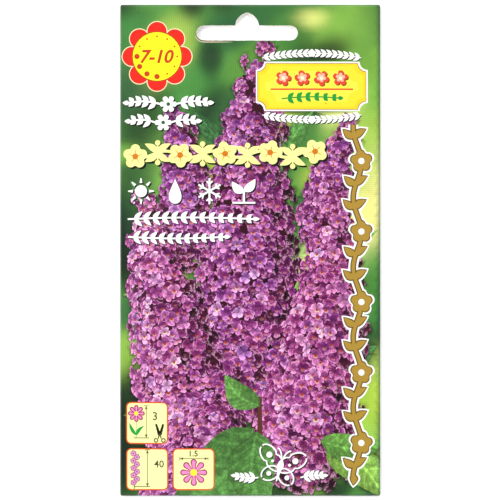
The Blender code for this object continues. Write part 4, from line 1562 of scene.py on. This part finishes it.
def sachetInk(tree, where):   # thin waxed paper: cloudy, with darker grains showing through its middle
    cloud = addNode(tree, "TexNoise", {"Vector": where, "Scale": 260.0, "Detail": 3.0})["Fac"]
    grains = addNode(tree, "TexVoronoi", {"Vector": where, "Scale": 620.0})["Distance"]
    dots = addNode(tree, "MapRange", {
        "Value": grains, "From Min": 0.1, "From Max": 0.3, "To Min": 0.86, "To Max": 1.0},
        interpolation_type="SMOOTHSTEP")[0]
    paper = addNode(tree, "Mix", {
        "Factor": cloud, 6: (*linear("#e6e1cf"), 1), 7: (*linear("#f7f4ea"), 1)}, data_type="RGBA")[2]
    return addNode(tree, "VectorMath", {0: paper, "Scale": dots}, operation="SCALE")[0]


settle(sachetPiece(), ["seed_sachet"])
print("folds, back, flaps and sachet made")


# The pale table, soft light that is stronger from the left and from above, and the camera straight down

stageSizes = {
    "table": 8.0, "photoPixels": 500, "mmPerPixel": 0.3155, "lens": 100.0, "edgeHeight": 1.0,
    "offCentre": (-0.079, 0.079),   # mm; the photo's frame isn't quite centred on the packet
    "lampSize": 0.9,                # m
    "lamps": {                      # place in m and power in W; brighter from the left and from above
        "keyLeft": ((-0.82, 0.04, 0.6), 11.4), "keyAbove": ((0.0, 0.83, 0.6), 10.8),
        "fillRight": ((0.83, 0.0, 0.6), 6.0), "fillBelow": ((0.0, -0.83, 0.6), 5.4),
    },
    "roomLight": 0.06,
}


def whiteTable():   # a board with matt white paint, rolled on: no gloss, and hardly any cloud in it
    material = bpy.data.materials.new("mattWhitePaintedBoard")
    material.use_nodes = True
    tree = material.node_tree
    where = addNode(tree, "TexCoord", {})["Object"]
    cloud = addNode(tree, "TexNoise", {"Vector": where, "Scale": 4.0, "Detail": 2.0})["Fac"]
    colour = addNode(tree, "Mix", {
        "Factor": cloud, 6: (*linear("#f0f0ef"), 1), 7: (*linear("#f3f3f2"), 1)}, data_type="RGBA")[2]
    shader = tree.nodes["Principled BSDF"]
    tree.links.new(colour, shader.inputs["Base Color"])
    shader.inputs["Roughness"].default_value = 0.9
    mesh = bpy.data.meshes.new("table")
    corners = boxCorners[[2, 3, 0, 1]] * stageSizes["table"] / 2
    mesh.from_pydata(np.concatenate([corners, np.zeros((4, 1))], 1), [], [(0, 1, 2, 3)])
    mesh.materials.append(material)
    table = bpy.data.objects.new("table", mesh)
    bpy.context.scene.collection.objects.link(table)


def softLight(name, place, power):   # a round soft box that faces the packet
    lamp = bpy.data.lights.new(name, "AREA")
    lamp.shape = "DISK"
    lamp.size = stageSizes["lampSize"]
    lamp.energy = power
    holder = bpy.data.objects.new(name, lamp)
    holder.location = place
    aim = np.array(place) / np.linalg.norm(place)
    holder.rotation_euler = (math.acos(aim[2]), 0, math.atan2(aim[1], aim[0]) + math.pi / 2)
    bpy.context.scene.collection.objects.link(holder)


def straightDownCamera():   # so high that the packet's edge has the photo's scale
    data = bpy.data.cameras.new("camera")
    data.lens = stageSizes["lens"]
    data.clip_start = 0.01
    span = stageSizes["photoPixels"] * stageSizes["mmPerPixel"] * mm
    height = stageSizes["edgeHeight"] * mm + data.lens * span / data.sensor_width
    camera = bpy.data.objects.new("camera", data)
    camera.location = (*(np.array(stageSizes["offCentre"]) * mm), height)
    bpy.context.scene.collection.objects.link(camera)
    bpy.context.scene.camera = camera


whiteTable()
for name, (place, power) in stageSizes["lamps"].items():
    softLight(name, place, power)
world = bpy.data.worlds.new("softRoom")
world.use_nodes = True
world.node_tree.nodes["Background"].inputs["Color"].default_value = (1, 1, 1, 1)
world.node_tree.nodes["Background"].inputs["Strength"].default_value = stageSizes["roomLight"]
bpy.context.scene.world = world
bpy.context.scene.view_settings.view_transform = "Standard"
straightDownCamera()
print("stage set")
